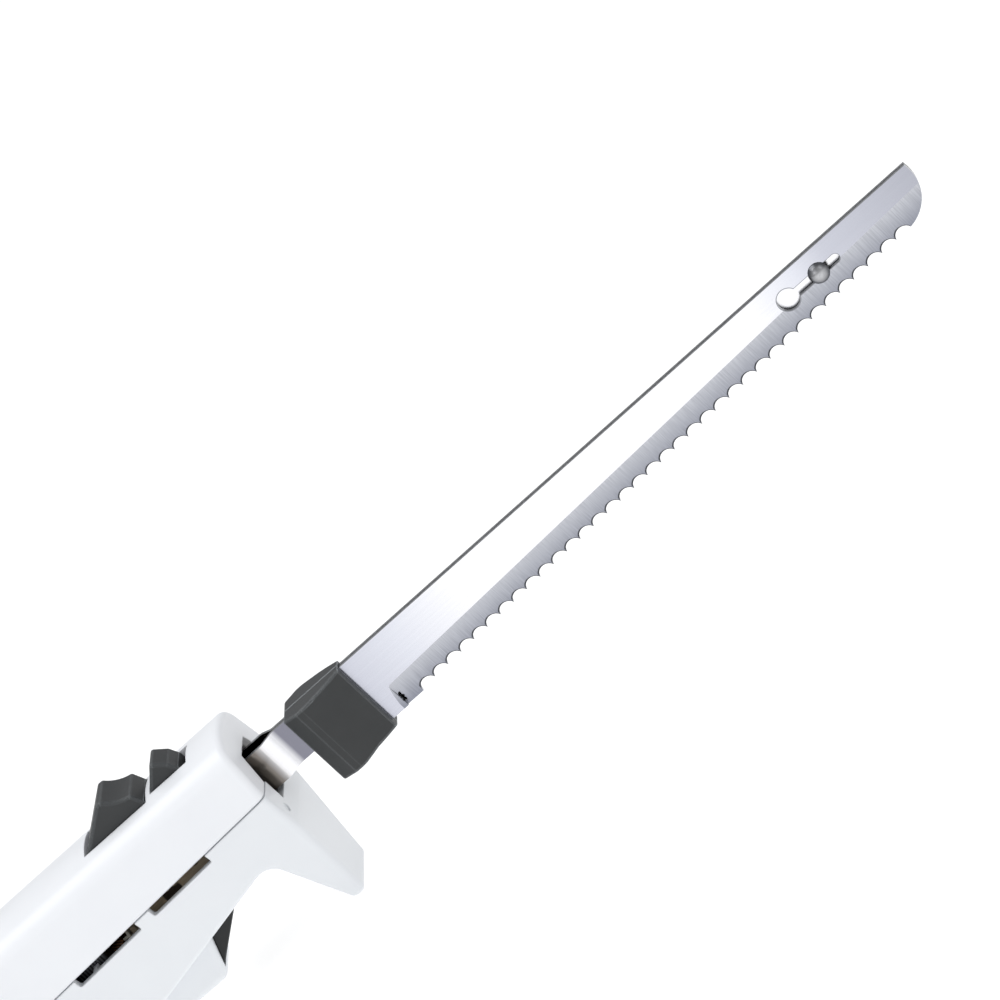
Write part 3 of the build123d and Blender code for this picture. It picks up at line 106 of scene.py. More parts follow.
table_reach = 4.0
corners = [(-1, -1), (1, -1), (1, 1), (-1, 1)]
table_mesh = bpy.data.meshes.new("studio_table")
table_mesh.from_pydata(
    [(x * table_reach, y * table_reach, 0) for x, y in corners], [], [(0, 1, 2, 3)]
)
table = bpy.data.objects.new("studio_table", table_mesh)
bpy.context.scene.collection.objects.link(table)
acrylic, tree, shader = finish_named("opal_acrylic_matt")
join(
    tree, shader, Base_Color=linear("#A8A8A8"), Roughness=0.7, Emission_Color=linear("#FFFFFF"),
    Emission_Strength=0.76,
)
table_mesh.materials.append(acrylic)

surround = bpy.data.worlds.new("pale_surround")
surround.use_nodes = True
backdrop = surround.node_tree.nodes["Background"]
join(surround.node_tree, backdrop, Color=linear("#F6F7F9"), Strength=0.6)
bpy.context.scene.world = surround

lit_place = Vector((0, 0, 0.04))
for name, place, size, power in (
    ("overhead_softbox", (-0.35, -0.1, 1.5), (1.4, 1.0), 12),
    ("front_softbox", (1.2, -0.9, 0.7), (0.8, 0.8), 1.5),
    ("side_softbox", (-0.7, -1.5, 0.9), (0.9, 0.6), 2),
):
    light = bpy.data.lights.new(name, "AREA")
    light.shape = "RECTANGLE"
    light.size, light.size_y = size
    light.energy = power
    lamp = bpy.data.objects.new(name, light)
    lamp.location = place
    lamp.rotation_euler = (lit_place - Vector(place)).to_track_quat("-Z", "Y").to_euler()
    bpy.context.scene.collection.objects.link(lamp)

# Gear frame and rear bracket: they carry the motor and the wheel between the shells. They are of
# glass-filled nylon, moulded in tan, with pale streaks of fibre at the skin and patches of dark
# grease that the gears have thrown.


def add(tree, kind, settings={}, **inputs):
    """Adds a node with its settings, and joins its inputs."""
    made = tree.nodes.new(kind)
    for name, value in settings.items():
        setattr(made, name, value)
    join(tree, made, **inputs)
    return made


def dress(names, finish):
    """Gives several CAD nodes one finish."""
    for name in names:
        nodes[name].data.materials.clear()
        nodes[name].data.materials.append(finish)


colours = {"data_type": "RGBA"}
filled_nylon, tree, shader = finish_named("glass_filled_nylon_tan")
place = add(tree, "ShaderNodeTexCoord").outputs["Object"]
fibre_length = 3 * mm
fibre_width = 0.6 * mm
grease_patch = 7 * mm
along_fibres = add(
    tree, "ShaderNodeMapping", Vector=place,
    Scale=(1 / fibre_length, 1 / fibre_width, 1 / fibre_width),
)
streaks = add(
    tree, "ShaderNodeTexNoise", Vector=along_fibres.outputs["Vector"], Scale=1.0, Detail=4.0
)
tan = add(
    tree, "ShaderNodeMix", colours, _0=streaks.outputs["Fac"],
    _6=linear("#B5A48A"), _7=linear("#DCCDB4"),
)
grease = add(tree, "ShaderNodeTexNoise", Vector=place, Scale=1 / grease_patch, Detail=2.0)
thrown = add(tree, "ShaderNodeMapRange", Value=grease.outputs["Fac"], From_Min=0.48, From_Max=0.53)
tone = add(
    tree, "ShaderNodeMix", colours, _0=thrown.outputs["Result"],
    _6=tan.outputs[2], _7=linear("#3B2F22"),
)
relief = add(
    tree, "ShaderNodeBump", Height=streaks.outputs["Fac"], Strength=0.25, Distance=0.04 * mm
)
join(
    tree, shader, Base_Color=tone.outputs[2], Normal=relief.outputs["Normal"], Roughness=0.55,
    IOR=1.53,
)
dress(["gear_frame", "rear_bracket"], filled_nylon)

# Bushes: sintered bronze, pressed into the frame and the bracket to carry the motor's shaft.
# The metal is porous and soaked with oil, so it is brown with dark specks.


def two_tone(tree, shader, pattern, dull, bright, strength, depth, **even):
    """A finish in which one pattern mixes two tones and raises the skin; the rest is even."""
    tone = add(tree, "ShaderNodeMix", colours, _0=pattern, _6=linear(dull), _7=linear(bright))
    relief = add(tree, "ShaderNodeBump", Height=pattern, Strength=strength, Distance=depth)
    join(tree, shader, Base_Color=tone.outputs[2], Normal=relief.outputs["Normal"], **even)


bronze, tree, shader = finish_named("sintered_bronze_oiled")
place = add(tree, "ShaderNodeTexCoord").outputs["Object"]
pore_spacing = 0.35 * mm
pores = add(tree, "ShaderNodeTexVoronoi", Vector=place, Scale=1 / pore_spacing)
two_tone(
    tree, shader, pores.outputs["Distance"], "#6B4A22", "#A67C3E", 0.3, 0.03 * mm,
    Metallic=1.0, Roughness=0.45,
)
dress(["front_bush", "middle_bush", "rear_bush"], bronze)

# Stator and armature cores: stacked sheets of silicon steel, stamped, with an oxide skin. The
# sheets' edges show as fine lines round the stack.
lamination, tree, shader = finish_named("silicon_steel_stamped_stack")
place = add(tree, "ShaderNodeTexCoord").outputs["Object"]
sheet_thickness = 0.5 * mm
# Each sheet takes half a wave, which is pi / 20 long at scale 1
half_wave = pi / 20
sheets = add(
    tree, "ShaderNodeTexWave", {"wave_type": "BANDS", "bands_direction": "X"}, Vector=place,
    Scale=half_wave / sheet_thickness, Distortion=0.3, Detail=1.0,
)
two_tone(
    tree, shader, sheets.outputs["Fac"], "#3B3C3F", "#74767A", 0.4, 0.05 * mm,
    Metallic=1.0, Roughness=0.5,
)
dress(["stator_core", "armature_core"], lamination)

# Windings and commutator: enamelled copper wire, wound in layers round the cores and ending at
# the commutator. The enamel is dark brown and glossy, and each turn shows as a ridge.
copper, tree, shader = finish_named("copper_wire_enamelled")
place = add(tree, "ShaderNodeTexCoord").outputs["Object"]
wire_thickness = 0.35 * mm
turns = add(
    tree, "ShaderNodeTexWave", {"wave_type": "BANDS", "bands_direction": "DIAGONAL"}, Vector=place,
    Scale=half_wave / wire_thickness, Distortion=0.8, Detail=2.0,
)
two_tone(
    tree, shader, turns.outputs["Fac"], "#2F1D13", "#7D5A42", 0.6, 0.1 * mm,
    Metallic=0.8, Roughness=0.3,
)
dress(["field_coils", "armature_winding", "commutator"], copper)

# Brushes: blocks of pressed carbon that rub on the commutator, dull and sooty, with a fine grit.
# Their holders are folded from brass strip, which has a warm, cloudy tarnish.
carbon, tree, shader = finish_named("carbon_pressed")
place = add(tree, "ShaderNodeTexCoord").outputs["Object"]
grit_size = 0.3 * mm
grit = add(tree, "ShaderNodeTexNoise", Vector=place, Scale=1 / grit_size, Detail=3.0)
two_tone(
    tree, shader, grit.outputs["Fac"], "#0E0E0F", "#262626", 0.4, 0.03 * mm, Roughness=0.75
)
dress(["carbon_brushes"], carbon)

brass, tree, shader = finish_named("brass_strip_folded")
place = add(tree, "ShaderNodeTexCoord").outputs["Object"]
tarnish_cloud = 2 * mm
tarnish = add(tree, "ShaderNodeTexNoise", Vector=place, Scale=1 / tarnish_cloud, Detail=3.0)
two_tone(
    tree, shader, tarnish.outputs["Fac"], "#8C6A2C", "#C9A557", 0.1, 0.03 * mm,
    Metallic=1.0, Roughness=0.32,
)
dress(["brush_holders"], brass)

# Motor shaft, wheel's axle and trigger's pin: carbon steel, ground round and lightly oiled, so
# with fine rings about the shaft and a dark sheen.
ground_steel, tree, shader = finish_named("carbon_steel_ground_oiled")
place = add(tree, "ShaderNodeTexCoord").outputs["Object"]
ring_width = 0.4 * mm
ring_reach = 6 * mm
along_shaft = add(
    tree, "ShaderNodeMapping", Vector=place, Scale=(1 / ring_width, 1 / ring_reach, 1 / ring_reach)
)
rings = add(tree, "ShaderNodeTexNoise", Vector=along_shaft.outputs["Vector"], Scale=1.0, Detail=2.0)
two_tone(
    tree, shader, rings.outputs["Fac"], "#77787B", "#A3A4A6", 0.15, 0.02 * mm,
    Metallic=1.0, Roughness=0.3,
)
dress(["motor_shaft", "wheel_axle", "trigger_pin"], ground_steel)

# Worm: of the same ground steel as the shaft that it is pressed on, with a single thread rolled
# into the blank that the CAD keeps plain. Its lead is the spacing of the wheel's teeth.
worm_low, worm_high = (Vector(corner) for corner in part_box("drive_worm"))
worm_length = worm_high.x - worm_low.x
shaft_height = (worm_low.z + worm_high.z) / 2
crest_radius = (worm_high.z - worm_low.z) / 2
thread_depth = 0.85 * mm
worm_bore = 1.55 * mm
lead = 2.08 * mm
half_foot = 0.33
flank = 0.15
around = 36
along_lead = 12
ring_count = round(worm_length / lead * along_lead)
thread_points = []
for ring in range(ring_count + 1):
    ring_x = worm_low.x + worm_length * ring / ring_count
    for step in range(around):
        turn = step / around
        phase = ((ring_x - worm_low.x) / lead - turn) % 1
        rise = min(1, max(0, (half_foot - abs(phase - 0.5)) / flank))
        reach = crest_radius - thread_depth * (1 - rise)
        thread_points.append(
            (ring_x, reach * cos(2 * pi * turn), shaft_height + reach * sin(2 * pi * turn))
        )
rear_bore = len(thread_points)
for ring_x in (worm_low.x, worm_high.x):
    for step in range(around):
        turn = 2 * pi * step / around
        thread_points.append((ring_x, worm_bore * cos(turn), shaft_height + worm_bore * sin(turn)))
front_bore = rear_bore + around
front_ring = ring_count * around
thread_faces = []
for step in range(around):
    beside = (step + 1) % around
    for ring in range(0, front_ring, around):
        ahead = ring + around
        thread_faces.append((ring + step, ring + beside, ahead + beside, ahead + step))
    thread_faces += [
        (step, rear_bore + step, rear_bore + beside, beside),
        (front_ring + step, front_ring + beside, front_bore + beside, front_bore + step),
        (rear_bore + step, front_bore + step, front_bore + beside, rear_bore + beside),
    ]
worm_mesh = bpy.data.meshes.new("rolled_worm")
worm_mesh.from_pydata(thread_points, [], thread_faces)
worm_mesh.materials.append(ground_steel)
worm = bpy.data.objects.new("rolled_worm", worm_mesh)
bpy.context.scene.collection.objects.link(worm)
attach(worm, "rotor")
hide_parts("drive_worm")

# Worm wheel, drive arms and fan: natural nylon, injection moulded. The wheel turns on its axle,
# the arms slide in the frame and the fan is pressed on the shaft. The nylon is milky, lets a
# little light in and stays slightly greasy.
natural_nylon, tree, shader = finish_named("natural_nylon_moulded")
place = add(tree, "ShaderNodeTexCoord").outputs["Object"]
milk_cloud = 4 * mm
milk = add(tree, "ShaderNodeTexNoise", Vector=place, Scale=1 / milk_cloud, Detail=3.0)
two_tone(
    tree, shader, milk.outputs["Fac"], "#D9D5C6", "#EDEADD", 0.1, 0.1 * mm, Roughness=0.42,
    IOR=1.53, Subsurface_Weight=0.15, Subsurface_Radius=(1.2 * mm, 1.0 * mm, 0.8 * mm),
)
dress(["worm_wheel", "near_drive_arm", "far_drive_arm", "cooling_fan"], natural_nylon)

# Blade clips and springs: hardened spring steel, rolled for the clips and drawn for the springs,
# blued a little in patches by the tempering.
spring_steel, tree, shader = finish_named("spring_steel_tempered")
place = add(tree, "ShaderNodeTexCoord").outputs["Object"]
blued_patch = 2.5 * mm
temper = add(tree, "ShaderNodeTexNoise", Vector=place, Scale=1 / blued_patch, Detail=3.0)
two_tone(
    tree, shader, temper.outputs["Fac"], "#5F6470", "#8B8A86", 0.15, 0.02 * mm,
    Metallic=1.0, Roughness=0.35,
)
dress(["near_blade_clip", "far_blade_clip"], spring_steel)

# Springs of the buttons and the trigger: the CAD's own forms on meshes of their own.
for name, joint, seat_height, kept in (
    ("release_spring", "release_press", 51.0 * mm, 0.2),
    ("lock_spring", "lock_press", 49.0 * mm, 0.41),
    ("trigger_spring", "trigger_pull", 26.7 * mm, 0.37),
):
    sprung = bpy.data.objects.new(name + "_sprung", nodes[name].data.copy())
    sprung.matrix_world = nodes[name].matrix_world
    bpy.context.scene.collection.objects.link(sprung)
    sprung.data.materials.clear()
    sprung.data.materials.append(spring_steel)
    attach(sprung, "handle")
    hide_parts(name)
    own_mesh(sprung)

# Switch and its plunger: black phenolic, compression moulded and set behind the trigger, which
# pushes the plunger in. It is semi-matt with a faint mottle.
phenolic, tree, shader = finish_named("phenolic_black_moulded")
place = add(tree, "ShaderNodeTexCoord").outputs["Object"]
mottle_size = 1.5 * mm
mottle = add(tree, "ShaderNodeTexNoise", Vector=place, Scale=1 / mottle_size, Detail=3.0)
two_tone(
    tree, shader, mottle.outputs["Fac"], "#141313", "#242222", 0.15, 0.03 * mm, Roughness=0.4
)
dress(["microswitch", "switch_plunger"], phenolic)

# Cord gland: soft PVC, moulded and pressed into the rear wall of the handle. It is matt and
# slightly dusty.
soft_pvc, tree, shader = finish_named("soft_PVC_moulded")
place = add(tree, "ShaderNodeTexCoord").outputs["Object"]
dust_patch = 1.2 * mm
dust = add(tree, "ShaderNodeTexNoise", Vector=place, Scale=1 / dust_patch, Detail=4.0)
two_tone(
    tree, shader, dust.outputs["Fac"], "#D8D8D6", "#E6E6E4", 0.2, 0.05 * mm, Roughness=0.6
)
dress(["cord_gland"], soft_pvc)

# Handle shells: white ABS, injection moulded in two halves and lightly polished in the mould.
# It gives a soft satin gloss, a faint orange peel and slightly duller patches where it is held.
# The lower shell's tones are painted greyer than the upper one's: painted shade.
peel_size = 1.1 * mm
hand_size = 28 * mm
shell_edge = 0.6 * mm
abs_ior = 1.54
for shell, duller, paler in (
    ("top_shell", "#ECEEF2", "#F3F5F8"),
    # Painted shade: the bottom shell's tones are greyer than the top shell's
    ("bottom_shell", "#E2E5E9", "#EBEEF1"),
):
    white_abs, tree, shader = finish_named("white_ABS_moulded_satin_" + shell)
    place = add(tree, "ShaderNodeTexCoord").outputs["Object"]
    peel = add(
        tree, "ShaderNodeTexNoise", Vector=place, Scale=1 / peel_size, Detail=2.0, Roughness=0.5
    )
    held = add(
        tree, "ShaderNodeTexNoise", Vector=place, Scale=1 / hand_size, Detail=3.0, Roughness=0.6
    )
    tone = add(
        tree, "ShaderNodeMix", colours, _0=held.outputs["Fac"],
        _6=linear(duller), _7=linear(paler),
    )
    gloss = add(
        tree, "ShaderNodeMapRange", Value=held.outputs["Fac"], From_Min=0.3, From_Max=0.7,
        To_Min=0.30, To_Max=0.44,
    )
    edge = add(tree, "ShaderNodeBevel", {"samples": 4}, Radius=shell_edge)
    relief = add(
        tree, "ShaderNodeBump", Height=peel.outputs["Fac"], Strength=0.12, Distance=0.05 * mm,
        Normal=edge.outputs["Normal"],
    )
    join(
        tree, shader, Base_Color=tone.outputs[2], Roughness=gloss.outputs["Result"],
        Normal=relief.outputs["Normal"], IOR=abs_ior,
    )
    dress([shell], white_abs)

# Shell screws: steel, zinc plated and passivated, driven up through the lower shell. The plating
# is pale with a cloudy bloom.
zinc, tree, shader = finish_named("steel_zinc_plated")
place = add(tree, "ShaderNodeTexCoord").outputs["Object"]
bloom_size = 0.9 * mm
bloom = add(tree, "ShaderNodeTexNoise", Vector=place, Scale=1 / bloom_size, Detail=3.0)
two_tone(
    tree, shader, bloom.outputs["Fac"], "#8D9094", "#C2C5C8", 0.2, 0.02 * mm,
    Metallic=1.0, Roughness=0.4,
)
dress(["housing_screws"], zinc)

# Buttons, trigger and grip collars: charcoal ABS from a spark-eroded mould, so the skin is
# finely grained and dull. Their edges are painted paler, a painted highlight, and the trigger is
# painted darker, a painted shade.
multiplied = {"data_type": "RGBA", "blend_type": "MULTIPLY"}
charcoal_abs, tree, shader = finish_named("charcoal_ABS_spark_textured")
place = add(tree, "ShaderNodeTexCoord").outputs["Object"]
grain_size = 0.5 * mm
shade_cloud = 9 * mm
button_edge = 0.5 * mm
grain = add(
    tree, "ShaderNodeTexNoise", Vector=place, Scale=1 / grain_size, Detail=3.0, Roughness=0.6
)
cloud = add(
    tree, "ShaderNodeTexNoise", Vector=place, Scale=1 / shade_cloud, Detail=2.0, Roughness=0.5
)
tone = add(
    tree, "ShaderNodeMix", colours, _0=cloud.outputs["Fac"],
    _6=linear("#2A2C2D"), _7=linear("#353738"),
)
gloss = add(tree, "ShaderNodeMapRange", Value=grain.outputs["Fac"], To_Min=0.38, To_Max=0.56)
edge = add(tree, "ShaderNodeBevel", {"samples": 6}, Radius=button_edge)
relief = add(
    tree, "ShaderNodeBump", Height=grain.outputs["Fac"], Strength=0.25, Distance=0.04 * mm,
    Normal=edge.outputs["Normal"],
)
# Painted highlight: the edges are painted paler, where the rounded normal parts from the face's own
parted = add(
    tree, "ShaderNodeVectorMath", {"operation": "DISTANCE"}, _0=edge.outputs["Normal"],
    _1=add(tree, "ShaderNodeNewGeometry").outputs["Normal"],
)
painted_edge_highlight = add(
    tree, "ShaderNodeMapRange", Value=parted.outputs["Value"], From_Min=0.04, From_Max=0.3,
    To_Max=0.9,
)
tone = add(
    tree, "ShaderNodeMix", colours, _0=painted_edge_highlight.outputs["Result"],
    _6=tone.outputs[2], _7=linear("#9DA2A5"),
)
# Painted shade: the trigger, lowest of them, is painted darker below 24 mm
height = add(tree, "ShaderNodeSeparateXYZ", Vector=place)
over_trigger = add(
    tree, "ShaderNodeMapRange", Value=height.outputs["Z"], From_Min=18 * mm, From_Max=24 * mm
)
trigger_painted_shade = add(
    tree, "ShaderNodeMix", colours, _0=over_trigger.outputs["Result"],
    _6=linear("#9A9C9C"), _7=linear("#FFFFFF"),
)
tone = add(
    tree, "ShaderNodeMix", multiplied, _0=1.0, _6=tone.outputs[2], _7=trigger_painted_shade.outputs[2]
)
join(
    tree, shader, Base_Color=tone.outputs[2], Roughness=gloss.outputs["Result"],
    Normal=relief.outputs["Normal"], IOR=abs_ior, Specular_IOR_Level=0.36,
)
dress(
    ["release_button", "lock_button", "trigger", "near_blade_collar", "far_blade_collar"],
    charcoal_abs,
)

# Blades: stainless steel strip, rolled bright, with the teeth ground across on the outer face. The
# flat mirrors the table, with painted reflections that make it duller at the heel and the tip;
# the ground band is greyer, with fine lines across it, a foot painted darker as shade and painted
# shade round each gullet and the keyhole.
add_up = {"operation": "ADD"}
subtract = {"operation": "SUBTRACT"}
multiply = {"operation": "MULTIPLY"}
multiply_add = {"operation": "MULTIPLY_ADD"}
absolute = {"operation": "ABSOLUTE"}
below = {"operation": "LESS_THAN"}
past = {"operation": "GREATER_THAN"}
distance = {"operation": "DISTANCE"}
blade_steel, tree, shader = finish_named("stainless_strip_rolled_and_ground")
place = add(tree, "ShaderNodeTexCoord").outputs["Object"]
parts = add(tree, "ShaderNodeSeparateXYZ", Vector=place)
collar_front = 19.15 * mm
spine_height = 49.0 * mm
tooth_line_drop = 20.7 * mm
tooth_rise = 0.0357
band_height = 7.5 * mm
band_start = 25.5 * mm
band_bow = 1.95 * mm
outer_y = 0.85 * mm
inner_reach = 0.4 * mm
tooth_line = add(
    tree, "ShaderNodeMath", multiply_add, _0=parts.outputs["X"], _1=tooth_rise,
    _2=spine_height - tooth_line_drop - tooth_rise * collar_front,
)
over_teeth = add(
    tree, "ShaderNodeMath", subtract, _0=parts.outputs["Z"], _1=tooth_line.outputs["Value"]
)
in_band = add(tree, "ShaderNodeMath", below, _0=over_teeth.outputs["Value"], _1=band_height)
# The band's start bows back towards the collar, as the wheel's edge leaves it
under_band_top = add(
    tree, "ShaderNodeMapRange", Value=over_teeth.outputs["Value"], From_Min=band_height,
    From_Max=1.5 * mm,
)
bow = add(
    tree, "ShaderNodeMath", {"operation": "POWER"}, _0=under_band_top.outputs["Result"], _1=0.5
)
start_line = add(
    tree, "ShaderNodeMath", multiply_add, _0=bow.outputs["Value"], _1=-band_bow, _2=band_start
)
past_heel = add(
    tree, "ShaderNodeMath", past, _0=parts.outputs["X"], _1=start_line.outputs["Value"]
)
outward = add(tree, "ShaderNodeMath", absolute, _0=parts.outputs["Y"])
outer_face = add(tree, "ShaderNodeMath", past, _0=outward.outputs["Value"], _1=inner_reach)
ground = in_band
for share in (past_heel, outer_face):
    ground = add(
        tree, "ShaderNodeMath", multiply, _0=ground.outputs["Value"], _1=share.outputs["Value"]
    )
line_width = 0.26 * mm
line_length = 9 * mm
rolled_length = 70 * mm
rolled_width = 0.5 * mm
across = 60 * mm
across_band = add(
    tree, "ShaderNodeMapping", Vector=place, Scale=(1 / line_width, 1 / across, 1 / line_length)
)
lines = add(
    tree, "ShaderNodeTexNoise", Vector=across_band.outputs["Vector"], Scale=1.0, Detail=2.0,
    Roughness=0.6,
)
along_strip = add(
    tree, "ShaderNodeMapping", Vector=place,
    Scale=(1 / rolled_length, 1 / across, 1 / rolled_width),
)
rolled = add(
    tree, "ShaderNodeTexNoise", Vector=along_strip.outputs["Vector"], Scale=1.0, Detail=3.0,
    Roughness=0.5,
)
rolled_tone = add(
    tree, "ShaderNodeMix", colours, _0=rolled.outputs["Fac"],
    _6=linear("#ECECF0"), _7=linear("#F6F6F8"),
)
# Painted reflections along the blade: dark tangs, a painted highlight on the bend, painted shade
# by the collar, then the flat from the collar to the tip, duller at the heel and the tip
along = add(
    tree, "ShaderNodeMapRange", Value=parts.outputs["X"], From_Min=-24 * mm, From_Max=220 * mm
)
painted_reflection_ramp = add(tree, "ShaderNodeValToRGB", Fac=along.outputs["Result"])
painted_reflection_ramp.color_ramp.elements[0].color = linear("#7E7468")
painted_reflection_ramp.color_ramp.elements[1].color = linear("#B8BAC2")
for share, code in (
    (0.043, "#A69E94"), (0.056, "#FFFFFF"), (0.065, "#FFFFFF"), (0.074, "#8A8A94"),
    (0.155, "#8E8F98"), (0.185, "#D0D2DA"), (0.25, "#E4E6EC"), (0.34, "#FFFFFF"),
    (0.775, "#FFFFFF"), (0.836, "#E8EAF0"), (0.877, "#CED0D8"),
):
    painted_reflection_ramp.color_ramp.elements.new(share).color = linear(code)
flat_tone = add(
    tree, "ShaderNodeMix", multiplied, _0=outer_face.outputs["Value"],
    _6=rolled_tone.outputs[2], _7=painted_reflection_ramp.outputs["Color"],
)
# Painted shade: the ground band is painted darker towards its foot at the teeth
band_share = add(
    tree, "ShaderNodeMapRange", Value=over_teeth.outputs["Value"], From_Max=band_height
)
band_foot_shade = add(
    tree, "ShaderNodeMix", colours, _0=band_share.outputs["Result"],
    _6=linear("#C2C4CC"), _7=linear("#FFFFFF"),
)
line_tone = add(
    tree, "ShaderNodeMix", colours, _0=lines.outputs["Fac"],
    _6=linear("#9A9CA3"), _7=linear("#DADCE2"),
)
band_tone = add(
    tree, "ShaderNodeMix", multiplied, _0=1.0, _6=line_tone.outputs[2], _7=band_foot_shade.outputs[2]
)
tone = add(
    tree, "ShaderNodeMix", colours, _0=ground.outputs["Value"],
    _6=flat_tone.outputs[2], _7=band_tone.outputs[2],
)
# Painted shade round each gullet: a dark ring about the centre of the grinding wheel's cut, wider
# to the rear
first_tooth = 30.65 * mm
tooth_pitch = 5.0 * mm
gullet_count = 36
gullet_radius = 2.56 * mm
gullet_depth = 2.0 * mm
gullet_shade_rear = 0.48 * mm
gullet_shade_front = 0.16 * mm
past_tooth = add(tree, "ShaderNodeMath", subtract, _0=parts.outputs["X"], _1=first_tooth)
in_gullet = add(
    tree, "ShaderNodeMath", {"operation": "FLOORED_MODULO"}, _0=past_tooth.outputs["Value"],
    _1=tooth_pitch,
)
off_middle = add(
    tree, "ShaderNodeMath", subtract, _0=in_gullet.outputs["Value"], _1=tooth_pitch / 2
)
over_centre = add(
    tree, "ShaderNodeMath", add_up, _0=over_teeth.outputs["Value"],
    _1=gullet_radius - gullet_depth,
)
gullet_point = add(
    tree, "ShaderNodeCombineXYZ", X=off_middle.outputs["Value"], Z=over_centre.outputs["Value"]
)
from_centre = add(
    tree, "ShaderNodeVectorMath", {"operation": "LENGTH"}, _0=gullet_point.outputs["Vector"]
)
gullet_shade_reach = add(
    tree, "ShaderNodeMapRange", Value=off_middle.outputs["Value"], From_Min=-1.2 * mm,
    From_Max=1.2 * mm, To_Min=gullet_radius + gullet_shade_rear, To_Max=gullet_radius + gullet_shade_front,
)
gullet_shade = add(
    tree, "ShaderNodeMath", below, _0=from_centre.outputs["Value"],
    _1=gullet_shade_reach.outputs["Result"],
)
before_tip = add(
    tree, "ShaderNodeMath", below, _0=parts.outputs["X"],
    _1=first_tooth + gullet_count * tooth_pitch,
)
toothed = add(tree, "ShaderNodeMath", past, _0=parts.outputs["X"], _1=first_tooth)
for share in (ground, before_tip, toothed):
    gullet_shade = add(
        tree, "ShaderNodeMath", multiply, _0=gullet_shade.outputs["Value"], _1=share.outputs["Value"]
    )
tone = add(
    tree, "ShaderNodeMix", colours, _0=gullet_shade.outputs["Value"],
    _6=tone.outputs[2], _7=linear("#4C4D52"),
)
# Painted shade at the rim of the keyhole on the near blade: the distance to its round end and to
# its slot, whichever is less
rivet_x = 185.45 * mm
rivet_z = 42.6 * mm
keyhole_radius = 3.1 * mm
slot_half_width = 1.3 * mm
keyhole_shade_width = 0.28 * mm
round_end = add(
    tree, "ShaderNodeVectorMath", distance, _0=place, _1=(rivet_x - 10.5 * mm, -outer_y, rivet_z)
)
round_rim = add(
    tree, "ShaderNodeMath", subtract, _0=round_end.outputs["Value"], _1=keyhole_radius
)
slot_x = add(
    tree, "ShaderNodeClamp", Value=parts.outputs["X"], Min=rivet_x - 9.2 * mm,
    Max=rivet_x + 5.6 * mm,
)
slot_line = add(
    tree, "ShaderNodeCombineXYZ", X=slot_x.outputs["Result"], Y=-outer_y, Z=rivet_z
)
from_slot = add(
    tree, "ShaderNodeVectorMath", distance, _0=place, _1=slot_line.outputs["Vector"]
)
slot_rim = add(
    tree, "ShaderNodeMath", subtract, _0=from_slot.outputs["Value"], _1=slot_half_width
)
to_rim = add(
    tree, "ShaderNodeMath", {"operation": "MINIMUM"}, _0=round_rim.outputs["Value"],
    _1=slot_rim.outputs["Value"],
)
within_keyhole_shade = add(tree, "ShaderNodeMath", below, _0=to_rim.outputs["Value"], _1=keyhole_shade_width)
near_side = add(tree, "ShaderNodeMath", below, _0=parts.outputs["Y"], _1=-0.6 * mm)
keyhole_shade = add(
    tree, "ShaderNodeMath", multiply, _0=within_keyhole_shade.outputs["Value"], _1=near_side.outputs["Value"]
)
tone = add(
    tree, "ShaderNodeMix", colours, _0=keyhole_shade.outputs["Value"],
    _6=tone.outputs[2], _7=linear("#8E9096"),
)
# Painted shadow round the heel's slit, on the near blade and on what shows of the far one behind it
slit_x = collar_front + 6.4 * mm
slit_foot = 29.7 * mm
slit_head = 32.1 * mm
slit_shadow_grain = 0.8 * mm
slit_z = add(tree, "ShaderNodeClamp", Value=parts.outputs["Z"], Min=slit_foot, Max=slit_head)
slit_line = add(
    tree, "ShaderNodeCombineXYZ", X=slit_x, Y=parts.outputs["Y"], Z=slit_z.outputs["Result"]
)
from_slit = add(
    tree, "ShaderNodeVectorMath", distance, _0=place, _1=slit_line.outputs["Vector"]
)
slit_shadow_edge = add(tree, "ShaderNodeTexNoise", Vector=place, Scale=1 / slit_shadow_grain, Detail=2.0)
slit_shadow_reach = add(
    tree, "ShaderNodeMapRange", Value=slit_shadow_edge.outputs["Fac"], From_Min=0.3, From_Max=0.7,
    To_Min=0.3 * mm, To_Max=0.75 * mm,
)
in_slit_shadow = add(
    tree, "ShaderNodeMath", below, _0=from_slit.outputs["Value"], _1=slit_shadow_reach.outputs["Result"]
)
towards_near = add(tree, "ShaderNodeMath", below, _0=parts.outputs["Y"], _1=inner_reach)
slit_shadow = add(
    tree, "ShaderNodeMath", multiply, _0=in_slit_shadow.outputs["Value"],
    _1=towards_near.outputs["Value"],
)
tone = add(
    tree, "ShaderNodeMix", colours, _0=slit_shadow.outputs["Value"],
    _6=tone.outputs[2], _7=linear("#1C1D1F"),
)
# Cut edges: sheared and left rough, so they are darker than the faces
shear_grain = 0.9 * mm
facing = add(
    tree, "ShaderNodeSeparateXYZ", Vector=add(tree, "ShaderNodeTexCoord").outputs["Normal"]
)
sideways = add(tree, "ShaderNodeMath", absolute, _0=facing.outputs["Y"])
sheared = add(tree, "ShaderNodeMath", below, _0=sideways.outputs["Value"], _1=0.5)
shear_marks = add(tree, "ShaderNodeTexNoise", Vector=place, Scale=1 / shear_grain, Detail=2.0)
sheared_tone = add(
    tree, "ShaderNodeMix", colours, _0=shear_marks.outputs["Fac"],
    _6=linear("#3A3B3D"), _7=linear("#BCBEC0"),
)
tone = add(
    tree, "ShaderNodeMix", colours, _0=sheared.outputs["Value"],
    _6=tone.outputs[2], _7=sheared_tone.outputs[2],
)
